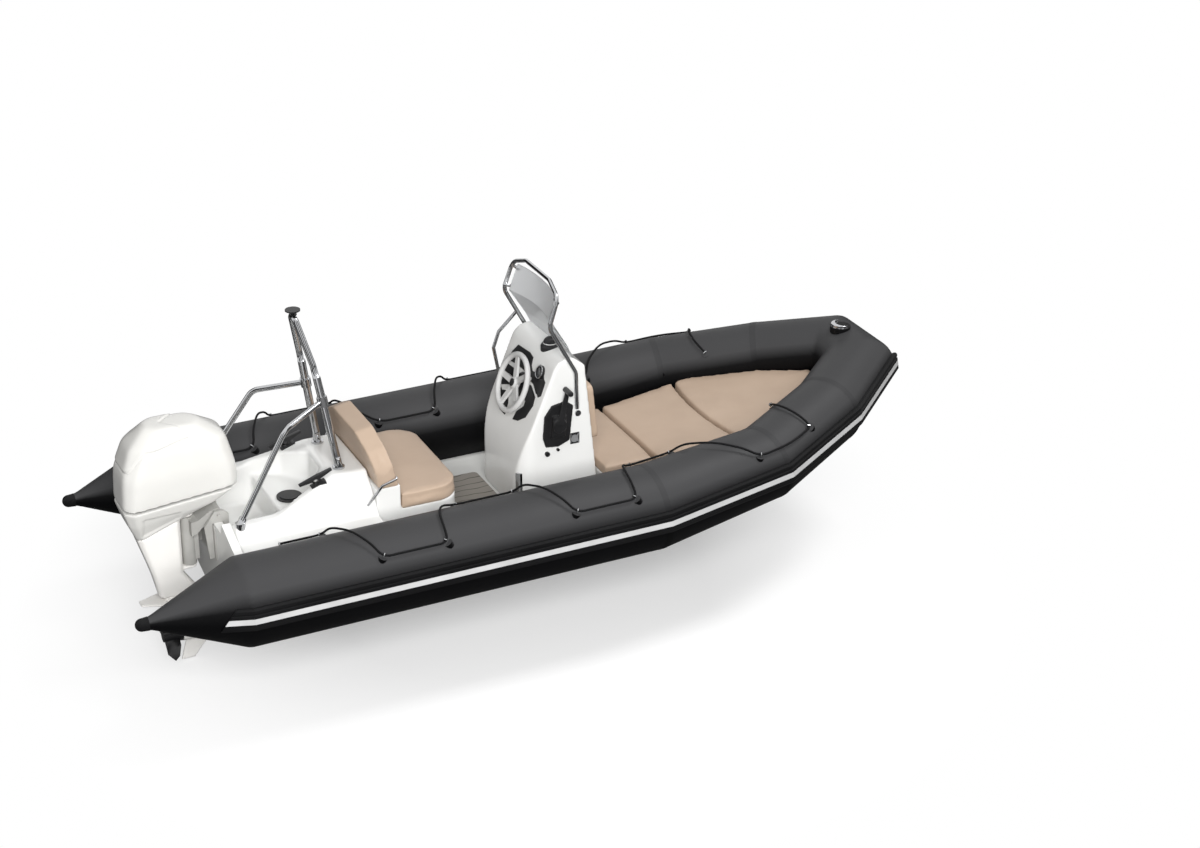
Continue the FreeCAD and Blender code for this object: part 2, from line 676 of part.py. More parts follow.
# Bow cushions and the locker under them: x, half width, height of the cushions' top
BOW_OUTLINE = [
    ("bow_pad_aft_x", "bow_pad_half", "bow_pad_z"),
    ("pad_seam_1_x + 60", "bow_pad_half + 15", "bow_pad_z + 10"),
    ("pad_seam_2_x", "bow_pad_half + 62", "bow_pad_z + 70"),
    ("3640", "bow_pad_half - 15", "bow_pad_z + 102"),
    ("3870", "bow_pad_half - 115", "bow_pad_z + 133"),
    ("4100", "bow_pad_half - 255", "bow_pad_z + 160"),
]


def bow_slab(bottom_drop, top_drop, inset):
    """A slab under the cushions' sloping top, between two depths below it."""
    stations = [[size(text) for text in row] for row in BOW_OUTLINE]
    shapes = []
    for (x1, half1, z1), (x2, half2, z2) in zip(stations, stations[1:]):
        start = x1 + inset if not shapes else x1
        wires = []
        for x, half, z in ((start, half1, z1), (x2, half2, z2)):
            low = z - bottom_drop if bottom_drop < 500 else 0.0
            wires.append(closed_wire([Vector(x, -half + inset, low), Vector(x, half - inset, low),
                                      Vector(x, half - inset, z - top_drop), Vector(x, -half + inset, z - top_drop)]))
        shapes.append(Part.makeLoft(wires, True, True))
    return shapes[0].fuse(shapes[1:]).removeSplitter()


# Bow locker: a moulding that follows the cushions down to the hull
locker = bow_slab(1000, size("bow_pad_thick"), 8).cut(NODES["hull_bottom"].Shape).cut(NODES["cockpit_sole"].Shape)
trimmed("bow_locker", locker)


def seam_face(x, bow, height):
    """A curved cutting strip across the boat, as wide as a seam."""
    half = size("tube_gauge")
    width = size("pad_seam")
    strip = []
    for shift in (0, width):
        strip.append([Vector(x + shift, -half, 0), Vector(x + shift + bow, 0, 0), Vector(x + shift, half, 0)])
    wire = Part.Wire([Part.Arc(*strip[0]).toShape(), Part.LineSegment(strip[0][2], strip[1][2]).toShape(),
                      Part.Arc(*strip[1]).toShape(), Part.LineSegment(strip[1][0], strip[0][0]).toShape()])
    return Part.Face(wire).extrude(Vector(0, 0, height))


bow_pad = bow_slab(size("bow_pad_thick - pad_gap"), 0, 0).cut(CUTTERS)
seams = [seam_face(size("pad_seam_1_x"), 20, 1000), seam_face(size("pad_seam_2_x"), -150, 1000)]
pads = sorted(bow_pad.cut(seams).Solids, key=lambda piece: -piece.Volume)[:3]
feature("bow_cushions", Part.makeCompound(pads))

# Bow fairlead: a moulded pad on the nose with a raised crescent along its aft side
lead = point("fairlead_x", "0", "tube_height + nose_rise")
lead_top = size("nose_radius + 16")
pad_disc = Part.makeCylinder(size("fairlead_radius"), lead_top, lead).cut(CUTTERS)
moon = Part.makeCylinder(size("fairlead_radius - 6"), 18, lead + Z_AXIS * lead_top).cut(
    Part.makeCylinder(size("fairlead_radius - 6"), 40, lead + Vector(34, 0, lead_top - 10)))
feature("bow_fairlead", one_solid(max(pad_disc.Solids, key=lambda piece: piece.Volume).fuse(moon)))

# ---------------------------------------------------------------- stern moulding and motor well

stern = new_body("stern_form")
pad(stern, outline(stern, "YZ_Plane", [
    ("-hull_side_y", "sole_top + seat_gap"), ("hull_side_y", "sole_top + seat_gap"),
    ("hull_side_y", "stern_deck_z - 20"), ("crown_y + 200", "stern_deck_z"), ("crown_y", "stern_crown_z"),
    ("-crown_y", "stern_crown_z"), ("-crown_y - 200", "stern_deck_z"), ("-hull_side_y", "stern_deck_z - 20")],
    "stern_section", "transom_x + transom_thick + seat_gap"),
    "stern_fore_x - transom_x - transom_thick - seat_gap", "stern_block", symmetric=False)
slope = outline(stern, "XZ_Plane", [
    ("0", "stern_rise_z"), ("360", "stern_rise_z + 12"), ("750", "stern_crown_z"),
    ("750", "stern_crown_z + 400"), ("0", "stern_crown_z + 400")], "stern_slope")
pocket(stern, slope, "4 * tube_gauge", "stern_ramp")


def well_pocket(aft, fore, floor, name):
    """The part of the motor well above one floor, narrowing forward."""
    drawing = outline(stern, "XY_Plane", [
        (aft, "-well_half"), ("shelf_aft_x", "-well_half"), (fore + " - 120", "-well_half + 70"),
        (fore, "-well_half + 220"), (fore, "well_half - 220"), (fore + " - 120", "well_half - 70"),
        ("shelf_aft_x", "well_half"), (aft, "well_half")], name + "_outline", floor)
    before = stern.Shape.Volume
    item = stern.newObject("PartDesign::Pocket", name)
    item.Profile = drawing
    item.setExpression("Length", cell("stern_crown_z + 100 - " + floor))
    item.SideType = "One side"
    item.Reversed = True
    doc.recompute()
    if item.Shape.common(box_between(point(aft + " + 120", "-50", floor + " + 5"),
                                     point(aft + " + 160", "50", "stern_crown_z"))).Volume > 1:
        raise ValueError(name + " isn't open")
    return before - stern.Shape.Volume


well_pocket("0", "well_fore_x", "shelf_z", "well_shelf")
low_well = outline(stern, "XY_Plane", [
    ("0", "-well_half"), ("shelf_aft_x", "-well_half"), ("shelf_aft_x", "well_half"),
    ("0", "well_half")], "low_well_outline", "well_floor_z")
low = stern.newObject("PartDesign::Pocket", "low_well")
low.Profile = low_well
low.setExpression("Length", cell("stern_crown_z + 100 - well_floor_z"))
low.SideType = "One side"
low.Reversed = True
doc.recompute()
trimmed("stern_moulding", taken_from(stern))
STERN = NODES["stern_moulding"].Shape


def deck_z(x, y):
    """Height of the stern moulding's surface at a place."""
    line = Part.makeLine(Vector(x, y, 0), Vector(x, y, 1500)).common(STERN)
    return line.BoundBox.ZMax


feature("well_hatch", Part.makeCylinder(size("hatch_radius"), 10, Vector(size("hatch_x"), size("-hatch_y"), size("shelf_z"))).fuse(
    Part.makeCylinder(size("hatch_radius - 18"), 16, Vector(size("hatch_x"), size("-hatch_y"), size("shelf_z")))))


def horn_cleat(side):
    """A cleat: a foot on the deck and one long horn bar on its neck."""
    x, y = size("cleat_x"), side * size("cleat_y")
    low = min(deck_z(x - 22, y), deck_z(x + 22, y))
    high = deck_z(x + 22, y)
    slope = (deck_z(x + 22, y) - deck_z(x - 22, y)) / 44.0
    run = Vector(1, 0, slope).normalize()
    up = Vector(-run.z, 0, run.x)
    centre = Vector(x, y, (low + high) / 2) + up * 44
    neck = plate([centre + Y_AXIS * -12 + run * -34 - up * 60, centre + Y_AXIS * -12 + run * 34 - up * 60,
                  centre + Y_AXIS * -12 + run * 22, centre + Y_AXIS * -12 - run * 22], Y_AXIS * 24)
    foot = plate([centre + Y_AXIS * -20 + run * -46 - up * 60, centre + Y_AXIS * -20 + run * 46 - up * 60,
                  centre + Y_AXIS * -20 + run * 46 - up * 34, centre + Y_AXIS * -20 - run * 46 - up * 34], Y_AXIS * 40)
    horns = plate([centre + Y_AXIS * -12 + run * along_x + up * above
                   for along_x, above in ((-105, 2), (-34, -10), (34, -10), (105, 2), (105, 12), (0, 16), (-105, 12))],
                  Y_AXIS * 24)
    return one_solid(horns.fuse([neck, foot]).cut(STERN))


feature("stern_cleats", Part.makeCompound([horn_cleat(-1), horn_cleat(1)]))

# ---------------------------------------------------------------- stern bench

bench = new_body("bench_base")
bench_form = pad(bench, outline(bench, "XZ_Plane", [
    ("stern_fore_x + seat_gap", "sole_top + seat_gap"), ("bench_fore_x - 60", "sole_top + seat_gap"),
    ("bench_fore_x", "bench_top - 60"), ("bench_fore_x", "bench_top"), ("shelf_x", "bench_top"),
    ("shelf_x", "back_bottom - pad_gap"), ("stern_fore_x + seat_gap", "back_bottom - pad_gap")],
    "bench_section"), "2 * bench_half - 20", "bench_block")
rounded(bench, bench_form, "130", lambda edge: along(edge, Z_AXIS) and edge.CenterOfMass.x > size("bench_fore_x - 10"),
        "bench_corners")
keep("bench_base", bench)

cushion = new_body("bench_cushion")
cushion_form = pad(cushion, outline(cushion, "XY_Plane", [
    ("shelf_x + pad_gap", "-bench_half"), ("bench_fore_x + 10", "-bench_half"),
    ("bench_fore_x + 10", "bench_half"), ("shelf_x + pad_gap", "bench_half")],
    "bench_cushion_outline", "bench_top + pad_gap"), "bench_pad_thick", "bench_cushion_slab", symmetric=False)
rounded(cushion, cushion_form, "160", lambda edge: along(edge, Z_AXIS) and edge.CenterOfMass.x > size("bench_fore_x"),
        "bench_cushion_corners")
keep("bench_cushion", cushion)

backrest = new_body("bench_backrest")
backrest_form = pad(backrest, outline(backrest, "YZ_Plane", [
    ("-bench_half", "-40"), ("bench_half", "-40"), ("bench_half", "back_height * 0.42"),
    ("bench_half - 80", "back_height * 0.74"), ("bench_half - 240", "back_height"),
    ("-bench_half + 240", "back_height"), ("-bench_half + 80", "back_height * 0.74"),
    ("-bench_half", "back_height * 0.42")], "backrest_outline"), "back_thick", "backrest_slab", symmetric=False)
backrest_soft = rounded(backrest, backrest_form, "60", lambda edge: along(edge, X_AXIS)
                        and edge.CenterOfMass.z > size("back_height") * 0.3, "backrest_corners")
pocket(backrest, outline(backrest, "XZ_Plane", [
    ("-10", "10 * back_slope"), ("back_thick + 10", "-(back_thick + 10) * back_slope"), ("back_thick + 10", "-60"),
    ("-10", "-60")], "backrest_level"), "3 * bench_half", "backrest_foot")
backrest.Placement = Placement(point("stern_fore_x + 17", "0", "back_bottom"),
                               Rotation(Y_AXIS, -math.degrees(math.atan(size("back_slope")))))
keep("bench_backrest", backrest)

# ---------------------------------------------------------------- console

console = new_body("console_column")
console_form = pad(console, outline(console, "XY_Plane", [
    ("console_aft_x", "-console_half"), ("console_fore_x", "-console_half"),
    ("console_fore_x", "console_half"), ("console_aft_x", "console_half")],
    "console_plan", "sole_top + seat_gap"), "brow_z - sole_top - seat_gap", "console_block", symmetric=False)
console_aft = rounded(console, console_form, "console_corner", lambda edge: along(edge, Z_AXIS)
                      and edge.CenterOfMass.x < size("console_aft_x + 5"), "console_aft_corners")
console_fore = rounded(console, console_aft, "45", lambda edge: along(edge, Z_AXIS)
                       and edge.CenterOfMass.x > size("console_fore_x - 5"), "console_fore_corners")
pocket(console, outline(console, "XZ_Plane", [
    ("console_fore_x", "sole_top"), ("console_front_x", "console_front_z"), ("brow_x + 60", "brow_z"),
    ("brow_x + 60", "brow_z + 50"), ("console_fore_x + 50", "brow_z + 50"), ("console_fore_x + 50", "sole_top")],
    "front_profile"), "3 * console_half", "front_cut")

# The dash plane carries the wheel, its bezel and the black panels
dash_foot = point("dash_foot_x", "0", "dash_foot_z")
dash_top = point("dash_top_x", "0", "dash_top_z")
dash_run = (dash_top - dash_foot).normalize()
dash_out = Vector(-dash_run.z, 0, dash_run.x)


def swept_aft_side():
    """What is taken off aft of the console: upright, then up the dash and over the brow in two sweeps."""
    aft_x, brow_z = size("console_aft_x"), size("brow_z")
    low = dash_foot + dash_run * ((aft_x - dash_foot.x) / dash_run.x)
    high = dash_foot + dash_run * ((brow_z - dash_foot.z) / dash_run.z)
    foot, end = Vector(aft_x, 0, 0), point("brow_x + 60", "0", "brow_z")
    profile = bent_path([foot, low, high, end], size("console_bend"), size("brow_bend"))
    rest = Part.makePolygon([end, end + Z_AXIS * 50, Vector(aft_x - 50, 0, brow_z + 50), foot - X_AXIS * 50, foot])
    block = Part.Face(Part.Wire(profile.Edges + rest.Edges)).extrude(Y_AXIS * size("3 * console_half"))
    block.translate(Y_AXIS * size("-1.5 * console_half"))
    return block


feature("console_shell", one_solid(taken_from(console).cut(swept_aft_side())))
CONSOLE = NODES["console_shell"].Shape.copy()

def on_dash(side, up, out=0.0):
    """A point on the dash: to port, up its slope, and off its face."""
    return dash_foot + Y_AXIS * side + dash_run * up + dash_out * out


def dash_skin(corners, thick):
    """A thin panel of the given outline that follows the console's rounded surface."""
    drill = plate([on_dash(side, up, -160) for side, up in corners], dash_out * 220)
    raised = CONSOLE.copy()
    raised.translate(dash_out * thick)
    pieces = raised.common(drill).cut(CONSOLE).Solids
    return max(pieces, key=lambda piece: piece.Volume)


# Outlines on the dash, (to port, up the slope): instruments, port strip, port foot, starboard quarter
DASH_PANELS = [
    [(238, 268), (226, 330), (185, 388), (25, 402), (-30, 392), (-44, 346), (-76, 322), (-112, 326), (-134, 352),
     (-142, 388), (-205, 372), (-246, 318), (-258, 240), (-215, 225), (-100, 286), (100, 286)],
    [(240, 240), (252, 130), (205, 118), (150, 150), (140, 240)],
    [(248, 104), (238, 60), (205, 22), (150, 4), (150, 60), (196, 92)],
    [(-120, 236), (-212, 200), (-225, 150), (-190, 60), (-120, 8), (-60, -8), (-70, 50), (-130, 110)],
]
gauge = on_dash(size("-gauge_y"), size("gauge_up"), -30)
ring = Part.makeCylinder(size("gauge_radius"), 47, gauge, dash_out).cut(
    [CONSOLE, Part.makeCylinder(size("gauge_radius - 7"), 6, gauge + dash_out * 43, dash_out)])
panels = [dash_skin(corners, 5) for corners in DASH_PANELS]
panels[0] = one_solid(panels[0].fuse(max(ring.Solids, key=lambda piece: piece.Volume)))
feature("dash_panels", Part.makeCompound(panels))

wheel_centre = on_dash(size("wheel_y"), size("wheel_up"), size("wheel_stand"))


def steering_wheel():
    rim = Part.makeTorus(size("wheel_radius"), size("rim_radius"), wheel_centre, dash_out)
    hub = Part.makeCone(40, 30, 34, wheel_centre - dash_out * 30, dash_out)
    spokes = []
    for step in range(5):
        direction = Rotation(dash_out, 90 + 72 * step).multVec(dash_run)
        across = dash_out.cross(direction)
        low = wheel_centre - dash_out * 24 + direction * 20
        outer = wheel_centre + direction * size("wheel_radius")
        spokes.append(Part.makeLoft([
            closed_wire([low + across * 20, low - across * 20, low - across * 20 + dash_out * 16,
                         low + across * 20 + dash_out * 16]),
            closed_wire([outer + across * 15 - dash_out * 8, outer - across * 15 - dash_out * 8,
                         outer - across * 15 + dash_out * 8, outer + across * 15 + dash_out * 8])], True, True))
    return rim.fuse([hub] + spokes)


feature("steering_wheel", one_solid(steering_wheel()))
helm_foot = on_dash(size("wheel_y"), size("wheel_up"), 0.4)
feature("helm_shaft", one_solid(rod(helm_foot, wheel_centre - dash_out * 30.5, 22).fuse(
    Part.makeCone(76, 62, 14, helm_foot, dash_out))))

# Compass on its pod, on the brow behind the windscreen
compass_foot = point("brow_x + 14", "-compass_y", "brow_z")
compass = Part.makeCylinder(58, 40, compass_foot - Z_AXIS * 40).fuse([
    Part.makeCone(58, 47, 16, compass_foot, Z_AXIS),
    Part.makeSphere(42, compass_foot + Z_AXIS * 14, Z_AXIS, 0, 90, 360)])
feature("compass", one_solid(compass.cut(CONSOLE)))

# Engine control on the console's starboard side: pocket plate, body, lever and grip
side_y = size("-console_half - seat_gap")


def side_plate(corners, inner, thick):
    """An outline (x, z) on the console's starboard side, standing off by a distance."""
    return plate([Vector(x, side_y - inner, z) for x, z in corners], Vector(0, -thick, 0))


control = side_plate([(2050, 560), (2068, 500), (2150, 490), (2225, 520), (2250, 745), (2200, 782), (2110, 765),
                      (2062, 700)], 0, 16)
control = control.fuse([
    side_plate([(2100, 560), (2190, 560), (2200, 700), (2110, 700)], 10, 26),
    Part.makeCylinder(44, 34, Vector(2150, side_y - 12, 640), Y_AXIS * -1),
    side_plate([(2128, 650), (2172, 640), (2212, 850), (2186, 858)], 34, 14),
    Part.makeCylinder(17, 92, Vector(2200, side_y - 4, 858), Y_AXIS * -1)])
feature("throttle_control", one_solid(control))
fittings = [
    Part.makeCylinder(19, 9, Vector(2284, side_y, 683), Y_AXIS * -1),
    side_plate([(2234, 486), (2292, 486), (2292, 556), (2234, 556)], 0, 6).fuse(
        Part.makeCylinder(24, 10, Vector(2259, side_y, 521), Y_AXIS * -1)),
    Part.makeCylinder(15, 14, Vector(2080, side_y, 452), Y_AXIS * -1),
    Part.makeCylinder(9, 14, Vector(2150, side_y, 468), Y_AXIS * -1),
]
latch = box_between(Vector(1880, -282, 205), Vector(1990, -256, 335))
shifted = CONSOLE.copy()
shifted.translate(Vector(-14, 0, 0))
fittings.append(max(shifted.common(latch).cut(CONSOLE).Solids, key=lambda piece: piece.Volume))
feature("console_fittings", Part.makeCompound(fittings))

# Padded backrest for the bow seat, on the console's front
front_back = new_body("bow_backrest")
front_form = pad(front_back, outline(front_back, "XZ_Plane", [
    ("console_fore_x + seat_gap - (bow_back_low - sole_top) * front_slope", "bow_back_low"),
    ("console_fore_x + seat_gap - (bow_back_low - sole_top) * front_slope + bow_back_thick", "bow_back_low"),
    ("console_fore_x + seat_gap - (bow_back_high - sole_top) * front_slope + bow_back_thick", "bow_back_high"),
    ("console_fore_x + seat_gap - (bow_back_high - sole_top) * front_slope", "bow_back_high")],
    "bow_back_section"), "2 * console_half - 90", "bow_back_slab")
rounded(front_back, front_form, "50", lambda edge: not along(edge, Y_AXIS) and edge.Length < size("bow_back_thick + 5"),
        "bow_back_corners")
keep("bow_backrest", front_back)

# ---------------------------------------------------------------- windscreen and its frame

# x, half width, height of the frame's bends on one side, foot first
FRAME_BENDS = [
    ("console_front_x - 60", "console_half + rail_radius + seat_gap", "720"),
    ("console_front_x - 71", "console_half + rail_radius + 8", "960"),
    ("brow_x - 106", "console_half + rail_radius + 10", "1275"),
    ("brow_x - 45", "console_half + rail_radius", "1450"),
    ("brow_x - 28", "170", "1506"),
]
frame_rows = [[size(text) for text in row] for row in FRAME_BENDS]
frame_path = [Vector(x, -y, z) for x, y, z in frame_rows] + [Vector(x, y, z) for x, y, z in frame_rows[::-1]]
screen_frame = bent_tube(frame_path, size("rail_radius"), size("frame_bend"))

# x at the centreline, x at the edge, half width, height of the screen's rows
SCREEN_ROWS = [("brow_x + 118", "brow_x + 90", "console_half - 20", "brow_z - 80"),
               ("brow_x + 66", "brow_x + 26", "console_half + 2", "brow_z + 60"),
               ("brow_x - 30", "brow_x - 84", "console_half - 7", "1275"),
               ("brow_x - 12", "brow_x - 42", "console_half - 52", "1452")]


def screen_row(centre, edge, half, z, thick):
    wire = [Part.Arc(Vector(edge, -half, z), Vector(centre, 0, z), Vector(edge, half, z)).toShape(),
            Part.LineSegment(Vector(edge, half, z), Vector(edge + thick, half, z)).toShape(),
            Part.Arc(Vector(edge + thick, half, z), Vector(centre + thick, 0, z), Vector(edge + thick, -half, z)).toShape(),
            Part.LineSegment(Vector(edge + thick, -half, z), Vector(edge, -half, z)).toShape()]
    return Part.Wire(wire)


screen_rows = [[size(text) for text in row] for row in SCREEN_ROWS]
screen = Part.makeLoft([screen_row(*row, size("glass_thick")) for row in screen_rows], True, True)
feature("windscreen_glass", one_solid(screen.cut(CONSOLE)))

# Clips that hold the screen to the frame
clips = []
for side in (-1, 1):
    for row, (frame_row, screen_edge) in enumerate(zip(frame_rows[2:4], screen_rows[2:4])):
        spot = Vector(frame_row[0], side * frame_row[1], frame_row[2] - 30 * (1 if row else -1))
        inner = Vector(screen_edge[1] + 4, side * (screen_edge[2] - 12), screen_edge[3] - 30 * (1 if row else -1))
        clips.append(max(rod(spot, inner, 9).cut(NODES["windscreen_glass"].Shape).Solids, key=lambda piece: piece.Volume))
feature("windscreen_frame", one_solid(screen_frame.fuse(clips)))

# Handrail on the port side of the console
rail_y = size("console_half + rail_radius + 22")
console_rail = one_solid(bent_tube([
    Vector(2190, rail_y - 6, 1120), Vector(2062, rail_y + 2, 992), Vector(2026, rail_y + 4, 890),
    Vector(2060, rail_y, 700), Vector(2090, rail_y - 20, 640), Vector(2090, size("console_half + seat_gap"), 640)],
    size("rail_radius - 2"), 18).cut([NODES["windscreen_frame"].Shape, CONSOLE]))

# ---------------------------------------------------------------- ski arch

foot_x, foot_y = size("arch_foot_x"), size("arch_foot_y")
top_x, top_z = size("arch_top_x"), size("arch_top_z")
foot_z = deck_z(foot_x, foot_y)
legs = [Vector(foot_x, -foot_y, foot_z + 20), Vector(top_x + 62, -foot_y * 0.66, top_z - 260),
        Vector(top_x, -34, top_z), Vector(top_x, 34, top_z), Vector(top_x + 62, foot_y * 0.66, top_z - 260),
        Vector(foot_x, foot_y, foot_z + 20)]
arch = bent_tube(legs, size("arch_radius"), 28)
sleeves, feet, collars, stays = [], [], [], []
for side in (-1, 1):
    foot = Vector(foot_x, side * foot_y, foot_z)
    knee = Vector(top_x + 62, side * foot_y * 0.66, top_z - 260)
    lean = (knee - foot).normalize()
    across = (Y_AXIS - lean * Y_AXIS.dot(lean)).normalize()
    fore = across.cross(lean)
    leg_foot = Vector(foot.x, foot.y, foot.z + 20)
    # the telescope sleeve round the lower half of the leg
    sleeve = Part.makeCylinder(size("arch_radius + 4"), 560, leg_foot, lean)
    sleeves.append(sleeve)
    # forked foot with its pin
    reach = size("arch_radius + 4.4")
    ears = []
    for hand in (-1, 1):
        start = leg_foot + across * (hand * reach)
        ears.append(plate([start + fore * -16 - lean * 22, start + fore * 16 - lean * 22,
                           start + fore * 16 + lean * 58, start - fore * 16 + lean * 58], across * (hand * 5)))
    base = Part.makeCylinder(36, 60, foot - Z_AXIS * 45).cut(STERN)
    base = max(base.Solids, key=lambda piece: piece.Volume).cut(
        box_between(foot + Vector(-60, -60, 11), foot + Vector(60, 60, 60)))
    pin = rod(leg_foot + lean * 34 - across * (reach + 12), leg_foot + lean * 34 + across * (reach + 12), 6)
    feet.append(one_solid(base.fuse(ears + [pin]).cut(STERN)))
    # collar that carries the stay
    joint = leg_foot + lean * size("collar_height")
    collars.append(Part.makeCylinder(size("arch_radius + 12"), 56, joint - lean * 28, lean))
    stay_foot = Vector(size("stay_foot_x"), side * size("stay_foot_y"),
                       deck_z(size("stay_foot_x"), side * size("stay_foot_y")) + 14)
    bend = Vector(size("stay_bend_x"), side * size("stay_bend_y"), size("stay_bend_z"))
    stays.append(bent_tube([stay_foot, bend, joint], size("stay_radius"), 95))
    shoe = Part.makeCylinder(size("stay_radius + 6"), 48, stay_foot - (bend - stay_foot).normalize() * 6, bend - stay_foot)
    block = Part.makeCylinder(size("stay_radius + 12"), 60, stay_foot - Z_AXIS * 50)
    feet.append(one_solid(shoe.cut(bent_tube([stay_foot, bend, joint], size("stay_radius"), 95)).fuse(
        block.cut(Part.makeCylinder(size("stay_radius"), 80, stay_foot, bend - stay_foot))).cut(STERN)))
arch = one_solid(arch.fuse(sleeves).cut(feet))
feature("arch_legs", arch)
feature("arch_stays", Part.makeCompound([stay.cut(collars + feet) for stay in stays]))
feature("arch_fittings", Part.makeCompound(feet + [collar.cut(arch) for collar in collars]))
spool_foot = Vector(top_x, 0, top_z)
spool = Part.makeCylinder(size("spool_neck"), size("arch_radius") + 30, spool_foot).fuse(
    [Part.makeCylinder(size("spool_radius"), 7, spool_foot + Z_AXIS * (size("arch_radius") + 24)),
     Part.makeCylinder(size("spool_neck + 12"), 6, spool_foot + Z_AXIS * (size("arch_radius") - 3))])
feature("tow_spool", one_solid(spool.cut(arch)))

# Short steel rails beside the stern bench
rails = []
for side in (-1, 1):
    low = Vector(900, side * 412, deck_z(900, side * 412) - 12)
    out_y = size("bench_half + 18")
    rails.append(bent_tube([low, Vector(985, side * out_y, 540), Vector(1075, side * out_y, 566),
                            Vector(1075, side * size("bench_half - 4"), 566)], 8, 13))
rails = [one_solid(rail.cut([STERN, NODES["bench_backrest"].Shape])) for rail in rails]
feature("hand_rails", Part.makeCompound([console_rail] + rails))

# ---------------------------------------------------------------- outboard motor

tilt = point("tilt_x", "0", "tilt_z")


def prism_loft(stations):
    """A ruled form through sections: aft x and z, fore x and z, half width, corner cut."""
    wires = []
    for aft, aft_z, fore, fore_z, half, cut in stations:
        rise = (fore_z - aft_z) / (fore - aft)
        near_aft, near_fore = aft_z + rise * cut, fore_z - rise * cut
        wires.append(closed_wire([
            Vector(aft, -half + cut, aft_z), Vector(aft + cut, -half, near_aft), Vector(fore - cut, -half, near_fore),
            Vector(fore, -half + cut, fore_z), Vector(fore, half - cut, fore_z), Vector(fore - cut, half, near_fore),
            Vector(aft + cut, half, near_aft), Vector(aft, half - cut, aft_z)]))
    return Part.makeLoft(wires, True, True)


seam_z = size("cowl_seam_z")
half = size("cowl_half")
seam_rise = 32


def cowl_form(inset, floor=0.0):
    """The cowl's form, or its inside when inset by the wall."""
    return prism_loft([
        (-450 + inset, seam_z - seam_rise + floor, 235 - inset, seam_z + seam_rise + floor, half - 6 - inset, 55),
        (-438 + inset, seam_z + 170, 226 - inset, seam_z + 170, half - inset, 62),
        (-378 + inset, seam_z + 335 - inset, 184 - inset, seam_z + 345 - inset, half - 14 - inset, 72),
        (-268 + inset, seam_z + 440 - inset, 40 - inset, seam_z + 440 - inset, half - 80 - inset, 66)])


def seam_at(x):
    """Height of the sloping seam between cowl and apron."""
    return seam_z - seam_rise + (x + 450) * 2 * seam_rise / 685.0


cowl_wall = size("cowl_wall")
feature("engine_cowl", one_solid(cowl_form(0, 0.4).cut(cowl_form(cowl_wall, -0.2))))
feature("engine_apron", prism_loft([
    (-372, 300, -8, 440, 92, 28), (-418, 410, 118, 500, 138, 40),
    (-450, seam_z - seam_rise, 235, seam_z + seam_rise, half - 8, 55)]))
yokes = []
for low in (size("barrel_low - barrel_gap - 22"), size("barrel_high + barrel_gap")):
    yokes.append(box_between(Vector(-200, -38, low), Vector(size("king_x"), 38, low + 20)).fuse(
        Part.makeCylinder(38, 20, point("king_x", "0", str(low)))))
leg = prism_loft([(-262, -120, -16, -120, 42, 20), (-292, 25, -112, 25, 52, 20), (-312, 100, -112, 100, 60, 22),
                  (-372, 299.6, -112, 392.6, 78, 25)])
feature("engine_leg", one_solid(leg.fuse(yokes).cut(NODES["engine_apron"].Shape)))
plate_z, shaft_z, skeg_z = size("plate_z"), size("shaft_z"), size("skeg_z")
gearcase = Part.makeCylinder(size("hub_radius"), 165, point("prop_x + 68", "0", "shaft_z"), X_AXIS)
gearcase = gearcase.fuse([
    Part.makeCone(size("hub_radius"), 10, 105, point("prop_x + 233", "0", "shaft_z"), X_AXIS),
    prism_loft([(-140, shaft_z, 40, shaft_z, 20, 8), (-176, plate_z, -10, plate_z, 26, 8),
                (-256, plate_z + 29.6, -25, plate_z + 29.6, 34, 12)]),
    plate([Vector(x, y, plate_z) for x, y in ((-378, -30), (-200, -100), (-60, -85), (-12, -20), (-12, 20),
                                              (-60, 85), (-200, 100), (-378, 30))], Vector(0, 0, 10)),
    plate([Vector(70, -7, shaft_z), Vector(-110, -7, shaft_z), Vector(-160, -7, skeg_z), Vector(-80, -7, skeg_z)],
          Vector(0, 14, 0))])
feature("engine_gearcase", one_solid(gearcase))
feature("engine_powerhead", prism_loft([
    (-320, seam_at(-320) + 0.4, 100, seam_at(100) + 0.4, 118, 20), (-320, 838, 100, 838, 118, 20)]))


def propeller():
    hub = Part.makeCone(size("hub_radius - 3"), size("hub_radius - 14"), 115,
                        point("prop_x + 67.4", "0", "shaft_z"), X_AXIS * -1)
    blades = []
    for turn in (0, 120, 240):
        blade = Part.makeLoft([
            closed_wire([Vector(-45, -6, 30), Vector(-45, 2, 30), Vector(45, 6, 30), Vector(45, -2, 30)]),
            closed_wire([Vector(-40, -48, 105), Vector(-42, -43, 105), Vector(30, 44, 105), Vector(32, 38, 105)]),
            closed_wire([Vector(-12, -30, 165), Vector(-13, -28, 165), Vector(8, 22, 165), Vector(9, 20, 165)])], True, True)
        blade.rotate(Vector(), X_AXIS, turn)
        blade.translate(point("prop_x", "0", "shaft_z"))
        blades.append(blade)
    return hub.fuse(blades)


feature("propeller", one_solid(propeller()))

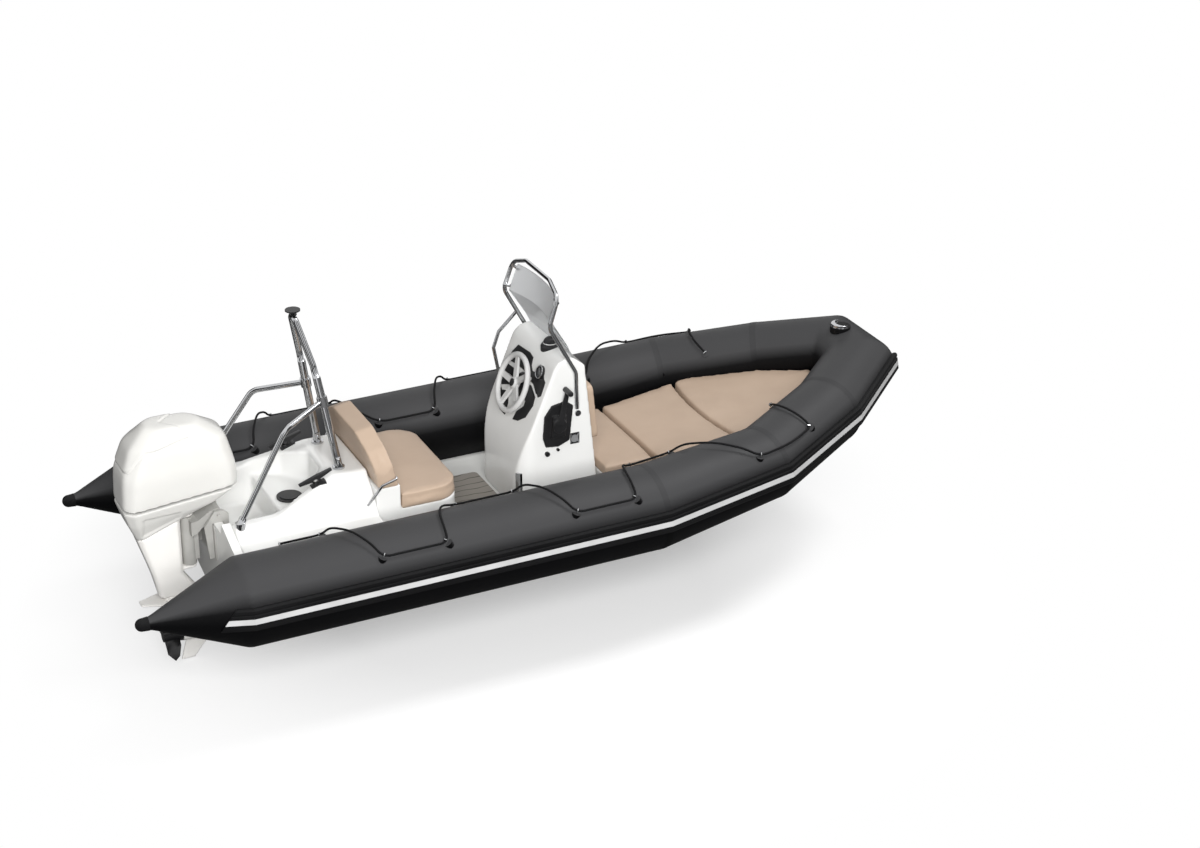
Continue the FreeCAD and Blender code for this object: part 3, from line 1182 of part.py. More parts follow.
# Pad on the transom, clamp brackets hooked over it, and the swivel bracket between them
pad_face = size("transom_x - pad_plate")
transom_pad = new_body("transom_pad")
transom_pad_slab = pad(transom_pad, outline(transom_pad, "YZ_Plane", [
    ("-165", "120"), ("165", "120"), ("165", "transom_top - 8"), ("-165", "transom_top - 8")],
    "pad_outline", "transom_x - pad_plate"), "pad_plate - 0.2", "pad_slab", symmetric=False)
rounded(transom_pad, transom_pad_slab, "20", lambda edge: along(edge, X_AXIS), "pad_corners")
keep("transom_pad", transom_pad)
board_top = size("transom_top")
clamps = []
for side in (-1, 1):
    y = side * 126 - 10
    clamps.append(plate([Vector(x, y, z) for x, z in (
        (pad_face - 0.2, 130), (pad_face - 0.2, board_top + 0.4), (118, board_top + 0.4), (118, board_top - 60),
        (152, board_top - 60), (152, board_top + 45), (120, board_top + 72), (70, board_top + 72),
        (4, board_top - 20), (24, 130))], Vector(0, 20, 0)))
feature("engine_clamps", one_solid(Part.makeCompound(clamps).fuse(rod(tilt + Y_AXIS * -152, tilt + Y_AXIS * 152, 13))))
barrel_foot = point("king_x", "0", "barrel_low")
swivel = Part.makeCylinder(42, size("barrel_high - barrel_low"), barrel_foot).fuse([
    plate([Vector(x, -100, z) for x, z in ((-62, 366), (-20, 372), (52, 418), (80, 427), (110, 427), (124, 404),
                                           (112, 384), (56, 376), (-30, 290), (-62, 280))], Vector(0, 200, 0)),
    box_between(Vector(-62, -30, 90), Vector(-8, 30, 300))])
swivel = swivel.cut(rod(tilt + Y_AXIS * -200, tilt + Y_AXIS * 200, 13.05))
feature("engine_swivel", one_solid(swivel))

doc.recompute()
problems = [item.Label for item in doc.Objects if set(item.State) & {"Invalid", "Error"}]
for name, item in NODES.items():
    if item.Shape.isNull() or not item.Shape.isValid():
        problems.append(name)
if problems:
    raise ValueError("these pieces failed: " + ", ".join(problems))
os.makedirs("parts", exist_ok=True)
for name, item in sorted(NODES.items()):
    item.Shape.exportStep("parts/%s.step" % name)
print("%d nodes, %.3f cubic metres" % (len(NODES), sum(item.Shape.Volume for item in NODES.values()) / 1e9))
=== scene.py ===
"""Dresses the rigid inflatable boat.

Fabric tubes, gelcoat mouldings, padded seats, stainless work and the outboard motor, all in metres.
"""
import bmesh
import bpy
import math
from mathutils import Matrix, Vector
from mathutils.bvhtree import BVHTree


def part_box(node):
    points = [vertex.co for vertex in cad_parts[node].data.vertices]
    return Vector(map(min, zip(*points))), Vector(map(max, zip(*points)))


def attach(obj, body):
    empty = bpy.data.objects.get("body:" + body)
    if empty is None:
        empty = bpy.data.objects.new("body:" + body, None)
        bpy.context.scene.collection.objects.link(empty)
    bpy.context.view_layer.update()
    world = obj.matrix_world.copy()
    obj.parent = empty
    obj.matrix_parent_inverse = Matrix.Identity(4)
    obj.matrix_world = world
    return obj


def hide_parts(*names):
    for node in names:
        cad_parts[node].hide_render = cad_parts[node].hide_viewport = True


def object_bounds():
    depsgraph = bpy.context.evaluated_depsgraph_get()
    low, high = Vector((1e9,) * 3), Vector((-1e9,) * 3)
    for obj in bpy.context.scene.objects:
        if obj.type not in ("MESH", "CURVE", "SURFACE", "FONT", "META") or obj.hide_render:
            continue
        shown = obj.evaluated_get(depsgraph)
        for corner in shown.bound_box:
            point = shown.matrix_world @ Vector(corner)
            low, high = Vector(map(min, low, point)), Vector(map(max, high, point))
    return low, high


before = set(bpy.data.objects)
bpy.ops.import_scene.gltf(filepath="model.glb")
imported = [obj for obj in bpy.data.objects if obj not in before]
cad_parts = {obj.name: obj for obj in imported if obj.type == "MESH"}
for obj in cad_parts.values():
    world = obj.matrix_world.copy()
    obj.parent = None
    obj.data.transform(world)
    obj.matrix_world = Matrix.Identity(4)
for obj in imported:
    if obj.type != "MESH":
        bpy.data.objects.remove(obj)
CAD_BOX = [list(corner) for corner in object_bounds()]

bl_info = {
    "name": "Rigid inflatable boat",
    "version": (1, 0, 0),
    "blender": (4, 5, 0),
    "location": "View3D > Sidebar > Boat",
    "description": "Builds the visible skin of a rigid inflatable boat with an outboard motor",
    "category": "Add Mesh",
}

COLLECTION = bpy.context.scene.collection

# Middle of the collar's tubes at the cones and at each seam: x, half width, height
COLLAR_LINE = (
    (0.0, 0.807, 0.2),
    (2.525, 0.807, 0.225),
    (3.34, 0.732, 0.311),
    (3.94, 0.449, 0.424),
    (4.33, 0.15, 0.52),
)
TAPE_REACH = 0.38

# The dash: its lower edge, the way up its slope and the way off its face
DASH_FOOT = Vector((1.975, 0.0, 0.6))
DASH_RUN = Vector((0.16, 0.0, 0.385)).normalized()
DASH_OUT = Vector((-DASH_RUN.z, 0.0, DASH_RUN.x))

# Black inlays on the dash, each corner as (to port, up the slope): port of the helm, starboard of it,
# its port foot, and above the gauge
DASH_INLAYS = (
    ((0.238, 0.244), (0.254, 0.140), (0.214, 0.112), (0.078, 0.166), (0.082, 0.236), (0.150, 0.250)),
    ((-0.082, 0.236), (-0.078, 0.166), (-0.150, 0.124), (-0.226, 0.150), (-0.214, 0.205), (-0.125, 0.244)),
    ((0.248, 0.104), (0.236, 0.052), (0.196, 0.006), (0.130, -0.020), (0.050, -0.024), (0.060, 0.050),
     (0.112, 0.112), (0.196, 0.084)),
    ((-0.100, 0.262), (-0.165, 0.258), (-0.245, 0.214), (-0.272, 0.235), (-0.265, 0.320), (-0.200, 0.345),
     (-0.120, 0.335)),
)
INLAY_LIFT, INLAY_THICK, INLAY_GRID = 0.003, 0.006, 0.02
RAY_START = 0.1

# Turned pieces on the dash and the wheel: places on the dash's slope, the bezel's (radius, thickness) and
# (radius, height) profiles
GAUGE_UP, GAUGE_SIDE, GAUGE_STAND = 0.352, -0.178, 0.0165
GAUGE_GLASS = ((0.036, 0.0), (0.036, 0.004), (0.02, 0.0062), (0.006, 0.007))
GAUGE_BEZEL, GLASS_SINK = (0.0385, 0.0034), 0.006
HUB_UP, HUB_STAND = 0.202, 0.0618
HUB_CAP = ((0.024, 0.0), (0.024, 0.004), (0.02, 0.006), (0.008, 0.0072))

# Cushions: frames that the filling takes, smoothing of the cover afterwards, and how squarely a face has to
# look at what it rests on to be held
CLOTH_STEPS, COVER_PASSES = 20, 8
SQUARELY = 0.6

# Opening between a cleat's feet: radius, depth below the cleat's middle, length along Y
CLEAT_ARCH, CLEAT_ARCH_DROP, CLEAT_ARCH_RUN = 0.016, 0.014, 0.1

# Ring round the compass: (radius, thickness), and its depth below the top of the base
COMPASS_RING, COMPASS_RING_DROP = (0.0405, 0.0035), 0.039

# The bow fairlead is steel down to this depth below its crest
LEAD_PLATE = 0.016

# Which of the console's fittings is which, by its middle; half width of the socket's grey face
LATCH_X, FRAME_FOOT_Z, SOCKET_X, SOCKET_FACE = 2.0, 0.6, 2.2, 0.024

# Edges sharper than this stay sharp; facets flatter than the second one are one face of a tube
SHARP = math.radians(35)
FLAT = math.radians(7)

# Rounding of the edges of cast and extruded pieces, and of the thin panels
CAST_EDGE, PANEL_EDGE = 0.003, 0.0015

# Stage: camera; lamps (name, place, size, share of the key's power, or None for the fill's own share); and
# the black cards that polished metal reflects (azimuth in degrees, half width)
CAMERA_PLACE = (-3.118, -12.02, 6.82)
CAMERA_TURN = (64.27, 0.0, -25.37)
SENSOR_WIDTH = 36.0
LAMPS = (("key_light", (8.5, -1.5, 10.5), 3.0, 1.0), ("fill_light", (-1.9, -10.9, 6.0), 6.0, None))
LAMP_TARGET = Vector((2.0, 0.0, 0.2))
CARDS = ((205.0, 3.5), (255.0, 2.6), (312.0, 3.4), (30.0, 4.0), (120.0, 5.0))
CARD_DISTANCE, CARD_RISE, CARD_HEIGHT = 13.0, 0.5, 12.0
FLOOR_REACH = 40.0
FLOOR_MIDDLE_X = 2.0
FLOOR_BLEND = (1.2, 3.1)


# ---------------------------------------------------------------- colours and node helpers

def linear(code):
    """An sRGB hex colour as linear RGBA."""
    values = [int(code[i:i + 2], 16) / 255.0 for i in (1, 3, 5)]
    return [v / 12.92 if v <= 0.04045 else ((v + 0.055) / 1.055) ** 2.4 for v in values] + [1.0]


def add_node(tree, kind, settings=None, links=None):
    """One shader node with its settings, socket values and incoming links."""
    made = tree.nodes.new(kind)
    for key, value in (settings or {}).items():
        if isinstance(key, str) and hasattr(made, key):
            setattr(made, key, value)
        else:
            made.inputs[key].default_value = value
    for key, source in (links or {}).items():
        tree.links.new(source, made.inputs[key])
    return made


def new_material(name, code, **sockets):
    """A material whose shader carries the given uniform values; returns it with its tree and shader."""
    material = bpy.data.materials.new(name)
    material.use_nodes = True
    tree = material.node_tree
    shader = tree.nodes["Principled BSDF"]
    shader.inputs["Base Color"].default_value = linear(code)
    for key, value in sockets.items():
        shader.inputs[key.replace("_", " ")].default_value = value
    return material, tree, shader


def shade(code, share):
    """The same sRGB colour, darker or lighter by a share."""
    return "#" + "".join("%02x" % min(255, round(int(code[i:i + 2], 16) * share)) for i in (1, 3, 5))


def place_of(tree):
    """Place on the piece, in metres."""
    return add_node(tree, "ShaderNodeTexCoord").outputs["Object"]


def grain(tree, place, per_metre, detail=2.0, stretch=(1.0, 1.0, 1.0)):
    """Fine noise with so many features a metre."""
    mapped = add_node(tree, "ShaderNodeMapping", {"Scale": stretch}, {"Vector": place}).outputs[0]
    noise = add_node(tree, "ShaderNodeTexNoise", {"Scale": per_metre, "Detail": detail}, {"Vector": mapped})
    return noise.outputs["Fac"]


def bump(tree, shader, height, depth, strength=1.0):
    """Relief of a real depth in metres."""
    made = add_node(tree, "ShaderNodeBump", {"Strength": strength, "Distance": depth}, {"Height": height})
    tree.links.new(made.outputs[0], shader.inputs["Normal"])


def spread(tree, source, low, high, start=0.35, end=0.65):
    """Maps a 0 to 1 pattern onto a range."""
    limits = {"From Min": start, "From Max": end, "To Min": low, "To Max": high}
    return add_node(tree, "ShaderNodeMapRange", limits, {"Value": source}).outputs[0]


def tint(tree, shader, pattern, dark, light):
    """Colour that wanders between two close tones."""
    ramp = add_node(tree, "ShaderNodeValToRGB", None, {"Fac": pattern})
    ramp.color_ramp.elements[0].color = linear(dark)
    ramp.color_ramp.elements[0].position = 0.3
    ramp.color_ramp.elements[1].color = linear(light)
    ramp.color_ramp.elements[1].position = 0.7
    tree.links.new(ramp.outputs["Color"], shader.inputs["Base Color"])


def painted_light_by_facing(tree, shader, below, beside, above):
    """Painted light: colour by how far the surface faces up, painted shade on the underside, darker on the
    side, a painted lighter top.
    """
    facing = add_node(tree, "ShaderNodeSeparateXYZ", None,
                      {"Vector": add_node(tree, "ShaderNodeTexCoord").outputs["Normal"]}).outputs["Z"]
    ramp = add_node(tree, "ShaderNodeValToRGB", None, {"Fac": spread(tree, facing, 0.0, 1.0, -1.0, 1.0)})
    ramp.color_ramp.elements.new(0.5)
    for element, position, code in zip(ramp.color_ramp.elements, (0.45, 0.64, 0.8), (below, beside, above)):
        element.position = position
        element.color = linear(code)
    tree.links.new(ramp.outputs["Color"], shader.inputs["Base Color"])


# ---------------------------------------------------------------- materials

def make_materials(colours):
    """Every finish on the boat, keyed by a short name."""
    made = {}

    # Coated polyester boat fabric, calendered: near black and satin, with painted shade where it faces down
    # and painted top light lightening it to dark grey where it faces up, and a fine even grain under the
    # coating
    m, tree, shader = new_material("coated_boat_fabric", "#1a1a1b", Roughness=0.5, Specular_IOR_Level=0.14)
    place = place_of(tree)
    painted_light_by_facing(tree, shader, "#050506", "#0d0d0e", "#3d3d3e")
    tree.links.new(spread(tree, grain(tree, place, 5.0, 2.0), 0.48, 0.53), shader.inputs["Roughness"])
    bump(tree, shader, grain(tree, place, 900.0, 1.0), 0.0002, 0.25)
    made["fabric"] = m

    # Welded tape of the same fabric, a shade duller where it was heated
    m, tree, shader = new_material("welded_seam_tape", "#1b1b1c", Roughness=0.55, Specular_IOR_Level=0.14)
    # Painted shade where the tape faces down and painted top light where it faces up, as on the fabric
    painted_light_by_facing(tree, shader, "#050505", "#0c0c0d", "#39393a")
    bump(tree, shader, grain(tree, place_of(tree), 900.0, 1.0), 0.0002, 0.25)
    made["tape"] = m

    # Extruded rubber: deeper black and duller than the fabric, slightly streaky along its run
    m, tree, shader = new_material("extruded_rubber", "#0f0f10", Roughness=0.55, Specular_IOR_Level=0.2)
    place = place_of(tree)
    tint(tree, shader, grain(tree, place, 6.0, 3.0, (0.3, 1.0, 1.0)), "#0b0b0c", "#131314")
    bump(tree, shader, grain(tree, place, 700.0, 1.0, (0.2, 1.0, 1.0)), 0.0002, 0.4)
    made["rubber"] = m

    # Light grey extruded PVC strip let into the strake
    m, tree, shader = new_material("extruded_grey_strip", "#d2d2d2", Roughness=0.4)
    tint(tree, shader, grain(tree, place_of(tree), 8.0, 3.0), "#b9b9b9", "#c5c5c5")
    made["strip"] = m

    # Gelcoat from a polished mould: bright white, wet gloss, faint long waves
    m, tree, shader = new_material("polished_gelcoat", colours.gelcoat_hex, Roughness=0.2, Coat_Weight=0.5,
                                   Coat_Roughness=0.06)
    place = place_of(tree)
    tint(tree, shader, grain(tree, place, 2.5, 2.0), shade(colours.gelcoat_hex, 0.987),
         shade(colours.gelcoat_hex, 1.013))
    bump(tree, shader, grain(tree, place, 14.0, 1.0), 0.0006, 0.25)
    made["gelcoat"] = m

    # Marine vinyl over foam: warm tan, leather-like embossing about 1.5 mm apart, low sheen
    m, tree, shader = new_material("embossed_marine_vinyl", colours.cushion_hex, Roughness=0.52)
    place = place_of(tree)
    tint(tree, shader, grain(tree, place, 5.0, 3.0), shade(colours.cushion_hex, 0.9805),
         shade(colours.cushion_hex, 1.0195))
    cells = add_node(tree, "ShaderNodeTexVoronoi", {"Scale": 520.0, "feature": "SMOOTH_F1"},
                     {"Vector": place})
    bump(tree, shader, cells.outputs["Distance"], 0.0006, 0.35)
    made["vinyl"] = m

    # Electropolished stainless tube: bright, with soft drawing marks
    m, tree, shader = new_material("electropolished_stainless", "#c4c5c7", Metallic=1.0, Roughness=0.12)
    place = place_of(tree)
    tree.links.new(spread(tree, grain(tree, place, 6.0, 1.0), 0.13, 0.15), shader.inputs["Roughness"])
    made["steel"] = m

    # Moulded black ABS with a spark-eroded grain that takes the shine off
    m, tree, shader = new_material("grained_black_abs", "#1b1b1c", Roughness=0.45)
    place = place_of(tree)
    tint(tree, shader, grain(tree, place, 10.0, 3.0), "#171718", "#202021")
    bump(tree, shader, grain(tree, place, 800.0, 1.0), 0.0002, 0.4)
    made["black"] = m

    # Moulded grey plastic, satin
    m, tree, shader = new_material("satin_grey_plastic", "#c6c6c5", Roughness=0.38)
    place = place_of(tree)
    tint(tree, shader, grain(tree, place, 9.0, 3.0), "#c0c0bf", "#cccccb")
    bump(tree, shader, grain(tree, place, 700.0, 1.0), 0.0002, 0.3)
    made["grey"] = m

    # Moulded mid-grey plastic of the socket on the console's side
    m, tree, shader = new_material("moulded_mid_grey_plastic", "#7c7d7e", Roughness=0.4)
    tint(tree, shader, grain(tree, place_of(tree), 40.0, 2.0), "#757677", "#838485")
    made["socket"] = m

    # Cast acrylic, smoked: see-through grey with a hard gloss
    m, tree, shader = new_material("smoked_acrylic", "#dadbdc", Roughness=0.4, Transmission_Weight=0.85,
                                   IOR=1.49)
    made["acrylic"] = m

    # Moulded non-skid decking: grey-brown, matt, with thin wandering dark grooves about 70 mm apart
    m, tree, shader = new_material("grooved_nonskid_decking", "#8f8a83", Roughness=0.8)
    place = place_of(tree)
    grooves = {"Scale": 4.6, "Distortion": 3.2, "Detail": 1.0, "Detail Scale": 1.4,
               "bands_direction": "Y", "wave_profile": "SIN"}
    wave = add_node(tree, "ShaderNodeTexWave", grooves, {"Vector": place})
    ramp = add_node(tree, "ShaderNodeValToRGB", None, {"Fac": wave.outputs["Fac"]})
    ramp.color_ramp.elements[0].color = linear("#55514c")
    ramp.color_ramp.elements[0].position = 0.01
    ramp.color_ramp.elements[1].color = linear("#948f88")
    ramp.color_ramp.elements[1].position = 0.035
    tree.links.new(ramp.outputs["Color"], shader.inputs["Base Color"])
    bump(tree, shader, wave.outputs["Fac"], 0.001, 0.2)
    made["decking"] = m

    # Non-skid gelcoat of the walkways: light grey, flat sheen, a sand-like grain about 2 mm across
    m, tree, shader = new_material("nonskid_gelcoat", "#d4d4d1", Roughness=0.7)
    place = place_of(tree)
    tint(tree, shader, grain(tree, place, 5.0, 2.0), "#cfcfcc", "#d9d9d6")
    bump(tree, shader, grain(tree, place, 420.0, 1.0), 0.0006, 0.5)
    made["walkway"] = m

    # Pearl-white baked enamel on the motor's cowl
    m, tree, shader = new_material("baked_pearl_enamel", colours.motor_hex, Roughness=0.3, Coat_Weight=0.25,
                                   Coat_Roughness=0.08)
    tint(tree, shader, grain(tree, place_of(tree), 4.0, 2.0), shade(colours.motor_hex, 0.9865),
         shade(colours.motor_hex, 1.0095))
    made["enamel"] = m

    # Silver-grey baked enamel on cast aluminium, faintly pebbled
    m, tree, shader = new_material("silver_grey_enamel", "#e8e6e2", Roughness=0.38)
    place = place_of(tree)
    tint(tree, shader, grain(tree, place, 7.0, 3.0), "#eeece8", "#f3f1ed")
    bump(tree, shader, grain(tree, place, 260.0, 2.0), 0.0003, 0.3)
    made["silver"] = m

    # Darker cast bracket enamel
    m, tree, shader = new_material("cast_bracket_enamel", "#b2b1ad", Roughness=0.42, Metallic=0.15)
    place = place_of(tree)
    tint(tree, shader, grain(tree, place, 8.0, 3.0), "#aaa9a5", "#b8b7b3")
    bump(tree, shader, grain(tree, place, 240.0, 2.0), 0.0004, 0.35)
    made["bracket"] = m

    # Braided polyester rope: black, matt, diagonal strands about 3 mm apart
    m, tree, shader = new_material("braided_polyester_rope", "#141415", Roughness=0.8, Specular_IOR_Level=0.2)
    place = place_of(tree)
    strands = add_node(tree, "ShaderNodeTexWave", {"Scale": 55.0, "bands_direction": "DIAGONAL"},
                       {"Vector": place})
    tint(tree, shader, strands.outputs["Fac"], "#0a0a0b", "#1c1c1d")
    bump(tree, shader, strands.outputs["Fac"], 0.0008, 0.6)
    made["rope"] = m

    # Mineral glass over a dark dial: deep, wet shine
    m, tree, shader = new_material("dial_glass", "#2a2b2d", Roughness=0.08, Coat_Weight=1.0,
                                   Coat_Roughness=0.03)
    tint(tree, shader, grain(tree, place_of(tree), 30.0, 1.0), "#262729", "#303134")
    made["dial"] = m

    # Black enamel on the propeller's cast aluminium
    m, tree, shader = new_material("black_cast_enamel", "#1c1c1d", Roughness=0.35, Metallic=0.2)
    place = place_of(tree)
    tint(tree, shader, grain(tree, place, 12.0, 2.0), "#171718", "#232324")
    made["cast_black"] = m
    return made


# ---------------------------------------------------------------- building helpers

def finished(build, name):
    """The mesh that a bmesh has built."""
    mesh = bpy.data.meshes.new(name)
    build.to_mesh(mesh)
    build.free()
    return mesh


def placed(name, data):
    """An object in the scene for a mesh, lamp or camera."""
    made = bpy.data.objects.new(name, data)
    COLLECTION.objects.link(made)
    return made


def whole(build):
    """Everything in a bmesh, as its cutting tools ask for it."""
    return build.verts[:] + build.edges[:] + build.faces[:]


def show(name, mesh, material, body, *nodes, slot=None):
    """A finished piece: given its material, set to ride on a body and to stand for its CAD nodes."""
    made = placed(name, mesh)
    mesh.materials.clear()
    mesh.materials.append(material)
    for face in mesh.polygons:
        face.use_smooth = True
        face.material_index = 0
    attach(made, body)
    if nodes:
        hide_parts(*nodes)
    return made


def settled(made):
    """Applies every modifier and gives back the resulting mesh."""
    graph = bpy.context.evaluated_depsgraph_get()
    mesh = bpy.data.meshes.new_from_object(made.evaluated_get(graph))
    bpy.data.objects.remove(made)
    return mesh


def joined(*nodes):
    """One mesh of several CAD nodes."""
    build = bmesh.new()
    for node in nodes:
        build.from_mesh(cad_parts[node].data)
    bmesh.ops.remove_doubles(build, verts=build.verts, dist=1e-5)
    return finished(build, "joined")


def smoothed(made, passes):
    """Evens out an object's surface and gives back its mesh."""
    smooth = made.modifiers.new("Rounded edges", "SMOOTH")
    smooth.factor = 0.5
    smooth.iterations = passes
    return settled(made)


def softened(mesh, voxel, passes):
    """The same form with an even skin and rounded edges, as it leaves a mould."""
    made = placed("softening", mesh)
    skin = made.modifiers.new("Even skin", "REMESH")
    skin.mode = "VOXEL"
    skin.voxel_size = voxel
    return smoothed(made, passes)


def islands(mesh):
    """The mesh's separate closed forms, each as a mesh of its own."""
    build = bmesh.new()
    build.from_mesh(mesh)
    build.verts.ensure_lookup_table()
    parts, seen = [], set()
    for seed in build.verts:
        if seed.index in seen:
            continue
        front, part = [seed], {seed.index}
        while front:
            for edge in front.pop().link_edges:
                for vert in edge.verts:
                    if vert.index not in part:
                        part.add(vert.index)
                        front.append(vert)
        seen |= part
        piece = build.copy()
        piece.verts.index_update()
        others = [vert for vert in piece.verts if vert.index not in part]
        bmesh.ops.delete(piece, geom=others, context="VERTS")
        parts.append(finished(piece, "island"))
    build.free()
    return parts


def merged(meshes):
    """One mesh of several; their material indices stay."""
    build = bmesh.new()
    for mesh in meshes:
        build.from_mesh(mesh)
    return finished(build, "merged")


def middle(mesh):
    """Centre of a mesh's box."""
    spots = [vert.co for vert in mesh.vertices]
    return Vector([(min(c) + max(c)) / 2 for c in zip(*spots)])


def plumped(mesh, voxel, reach, rests):
    """A filled cushion: an even skin blown up from inside as cloth, held flat where it rests."""
    skin = softened(mesh, voxel, 3)
    normals = [vert.normal.copy() for vert in skin.vertices]
    still = [index for index, normal in enumerate(normals) if rests(normal)]
    held = set(still)
    for index, vert in enumerate(skin.vertices):
        if index not in held:
            vert.co -= normals[index] * reach * 0.5
    start = [vert.co.copy() for vert in skin.vertices]
    made = placed("filling", skin)
    made.vertex_groups.new(name="resting").add(still, 1.0, "REPLACE")
    cloth = made.modifiers.new("Filling", "CLOTH")
    cloth.collision_settings.use_collision = False
    cloth.settings.quality = 3
    cloth.settings.mass = 0.3
    cloth.settings.tension_stiffness = 20.0
    cloth.settings.compression_stiffness = 20.0
    cloth.settings.bending_stiffness = 1.0
    cloth.settings.vertex_group_mass = "resting"
    cloth.settings.use_pressure = True
    cloth.settings.uniform_pressure_force = 4.0
    cloth.settings.effector_weights.gravity = 0.0
    for step in range(1, CLOTH_STEPS + 1):
        bpy.context.scene.frame_set(step)
    filled = settled(made)
    bpy.context.scene.frame_set(1)
    for vert, was in zip(filled.vertices, start):
        move = vert.co - was
        if move.length > reach:
            vert.co = was + move.normalized() * reach
    return smoothed(placed("settling", filled), COVER_PASSES)


def shaped(mesh, rule):
    """Moves each point along its normal by what the rule gives for its place, in metres."""
    normals = [vert.normal.copy() for vert in mesh.vertices]
    for vert, normal in zip(mesh.vertices, normals):
        vert.co += normal * rule(vert.co)
    return mesh


def ease(value, low, high):
    """0 below low, 1 above high, smooth between."""
    share = min(max((value - low) / (high - low), 0.0), 1.0)
    return share * share * (3 - 2 * share)


def turned(centre, axis, profile, around):
    """A bmesh with one row of points about an axis for each (radius, height) pair, and the rows."""
    axis = Vector(axis).normalized()
    side = axis.orthogonal().normalized()
    up = axis.cross(side)
    build = bmesh.new()
    rows = []
    for radius, height in profile:
        row = []
        for i in range(around):
            turn = 2 * math.pi * i / around
            out = side * math.cos(turn) + up * math.sin(turn)
            row.append(build.verts.new(Vector(centre) + axis * height + out * radius))
        rows.append(row)
    return build, rows


def banded(build, below, above):
    """The faces between two rows of points."""
    for i in range(len(below)):
        after = (i + 1) % len(below)
        build.faces.new([below[i], below[after], above[after], above[i]])


def ring(centre, axis, radius, thick, around=64, across=12):
    """A round bezel: a torus about an axis."""
    leans = [2 * math.pi * j / across for j in range(across)]
    profile = [(radius + thick * math.cos(lean), thick * math.sin(lean)) for lean in leans]
    build, rows = turned(centre, axis, profile, around)
    for below, above in zip(rows, rows[1:] + rows[:1]):
        banded(build, below, above)
    bmesh.ops.recalc_face_normals(build, faces=build.faces)
    return finished(build, "ring")


def dome(centre, axis, profile, around=48):
    """A turned cap: (radius, height) pairs about an axis, from its rim to its middle."""
    build, rows = turned(centre, axis, profile, around)
    for below, above in zip(rows, rows[1:]):
        banded(build, below, above)
    build.faces.new(rows[-1])
    build.faces.new(rows[0][::-1])
    bmesh.ops.recalc_face_normals(build, faces=build.faces)
    return finished(build, "dome")


def cut_band(mesh, spot, normal, width, reach, lift):
    """The strip of a skin between two planes about a spot, lifted off it as a tape."""
    build = bmesh.new()
    build.from_mesh(mesh)
    far = [vert for vert in build.verts if (vert.co - spot).length > reach]
    bmesh.ops.delete(build, geom=far, context="VERTS")
    for hand in (-1, 1):
        bmesh.ops.bisect_plane(build, geom=whole(build), plane_co=spot + normal * (hand * width / 2),
                               plane_no=normal * hand, clear_outer=True)
    build.normal_update()
    for vert in build.verts:
        vert.co += vert.normal * lift
    return finished(build, "tape")


def toned(made, kinds, *materials):
    """Gives the faces of a shown piece their kind of material: 0 is the piece's own."""
    for material in materials:
        made.data.materials.append(material)
    for face, kind in zip(made.data.polygons, kinds):
        face.material_index = kind


def draped(corners, skin):
    """A thin sheet of a given outline on the dash, (to port, up the slope), laid on the console's skin."""
    build = bmesh.new()
    build.faces.new([build.verts.new((side, up, 0.0)) for side, up in corners])
    for axis in (0, 1):
        low = min(corner[axis] for corner in corners)
        high = max(corner[axis] for corner in corners)
        for line in range(1, int((high - low) / INLAY_GRID) + 1):
            spot, normal = [0.0, 0.0, 0.0], [0.0, 0.0, 0.0]
            spot[axis], normal[axis] = low + line * INLAY_GRID, 1.0
            bmesh.ops.bisect_plane(build, geom=whole(build), plane_co=spot, plane_no=normal)
    for vert in build.verts:
        away = DASH_FOOT + Vector((0.0, vert.co.x, 0.0)) + DASH_RUN * vert.co.y + DASH_OUT * RAY_START
        hit = skin.ray_cast(away, -DASH_OUT)
        vert.co = (hit[0] if hit[0] else away - DASH_OUT * RAY_START) + DASH_OUT * INLAY_LIFT
    bmesh.ops.recalc_face_normals(build, faces=build.faces)
    lower = bmesh.ops.extrude_face_region(build, geom=build.faces[:])
    for item in lower["geom"]:
        if isinstance(item, bmesh.types.BMVert):
            item.co -= DASH_OUT * INLAY_THICK
    bmesh.ops.recalc_face_normals(build, faces=build.faces)
    return finished(build, "sheet")


def edged(node, width, segments=2):
    """Small rounded edges on a CAD piece, as cast or moulded."""
    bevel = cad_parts[node].modifiers.new("Rounded edges", "BEVEL")
    bevel.width = width
    bevel.segments = segments
    bevel.limit_method = "ANGLE"
    bevel.angle_limit = SHARP
    bevel.use_clamp_overlap = True


def painted(**keys):
    """Gives each named CAD node its material, whatever slots it came with."""
    for node, key in keys.items():
        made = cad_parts[node]
        for slot in made.material_slots:
            slot.material = MATERIALS[key]
        if not made.material_slots:
            made.data.materials.append(MATERIALS[key])


def smooth_copy(node, name, key, body, slot):
    """A CAD piece with the same form, its round parts shaded round and its edges kept."""
    build = bmesh.new()
    build.from_mesh(joined(node))
    bmesh.ops.join_triangles(build, faces=build.faces[:], cmp_seam=False, cmp_sharp=False, cmp_uvs=False,
                             cmp_vcols=False, cmp_materials=False, angle_face_threshold=FLAT,
                             angle_shape_threshold=math.pi)
    made = show(name, finished(build, name), MATERIALS[key], body, node, slot=slot)
    made.data.set_sharp_from_angle(angle=SHARP)


# ---------------------------------------------------------------- settings

class BoatColours(bpy.types.PropertyGroup):
    """Colours an owner would choose."""
    gelcoat_hex: bpy.props.StringProperty(
        name="Gelcoat", description="Colour of the deck and console", default="#e7e7e5")
    cushion_hex: bpy.props.StringProperty(
        name="Cushions", description="Colour of the seat vinyl", default="#b39e8b")
    motor_hex: bpy.props.StringProperty(
        name="Motor", description="Colour of the motor's cowl", default="#dddcd8")


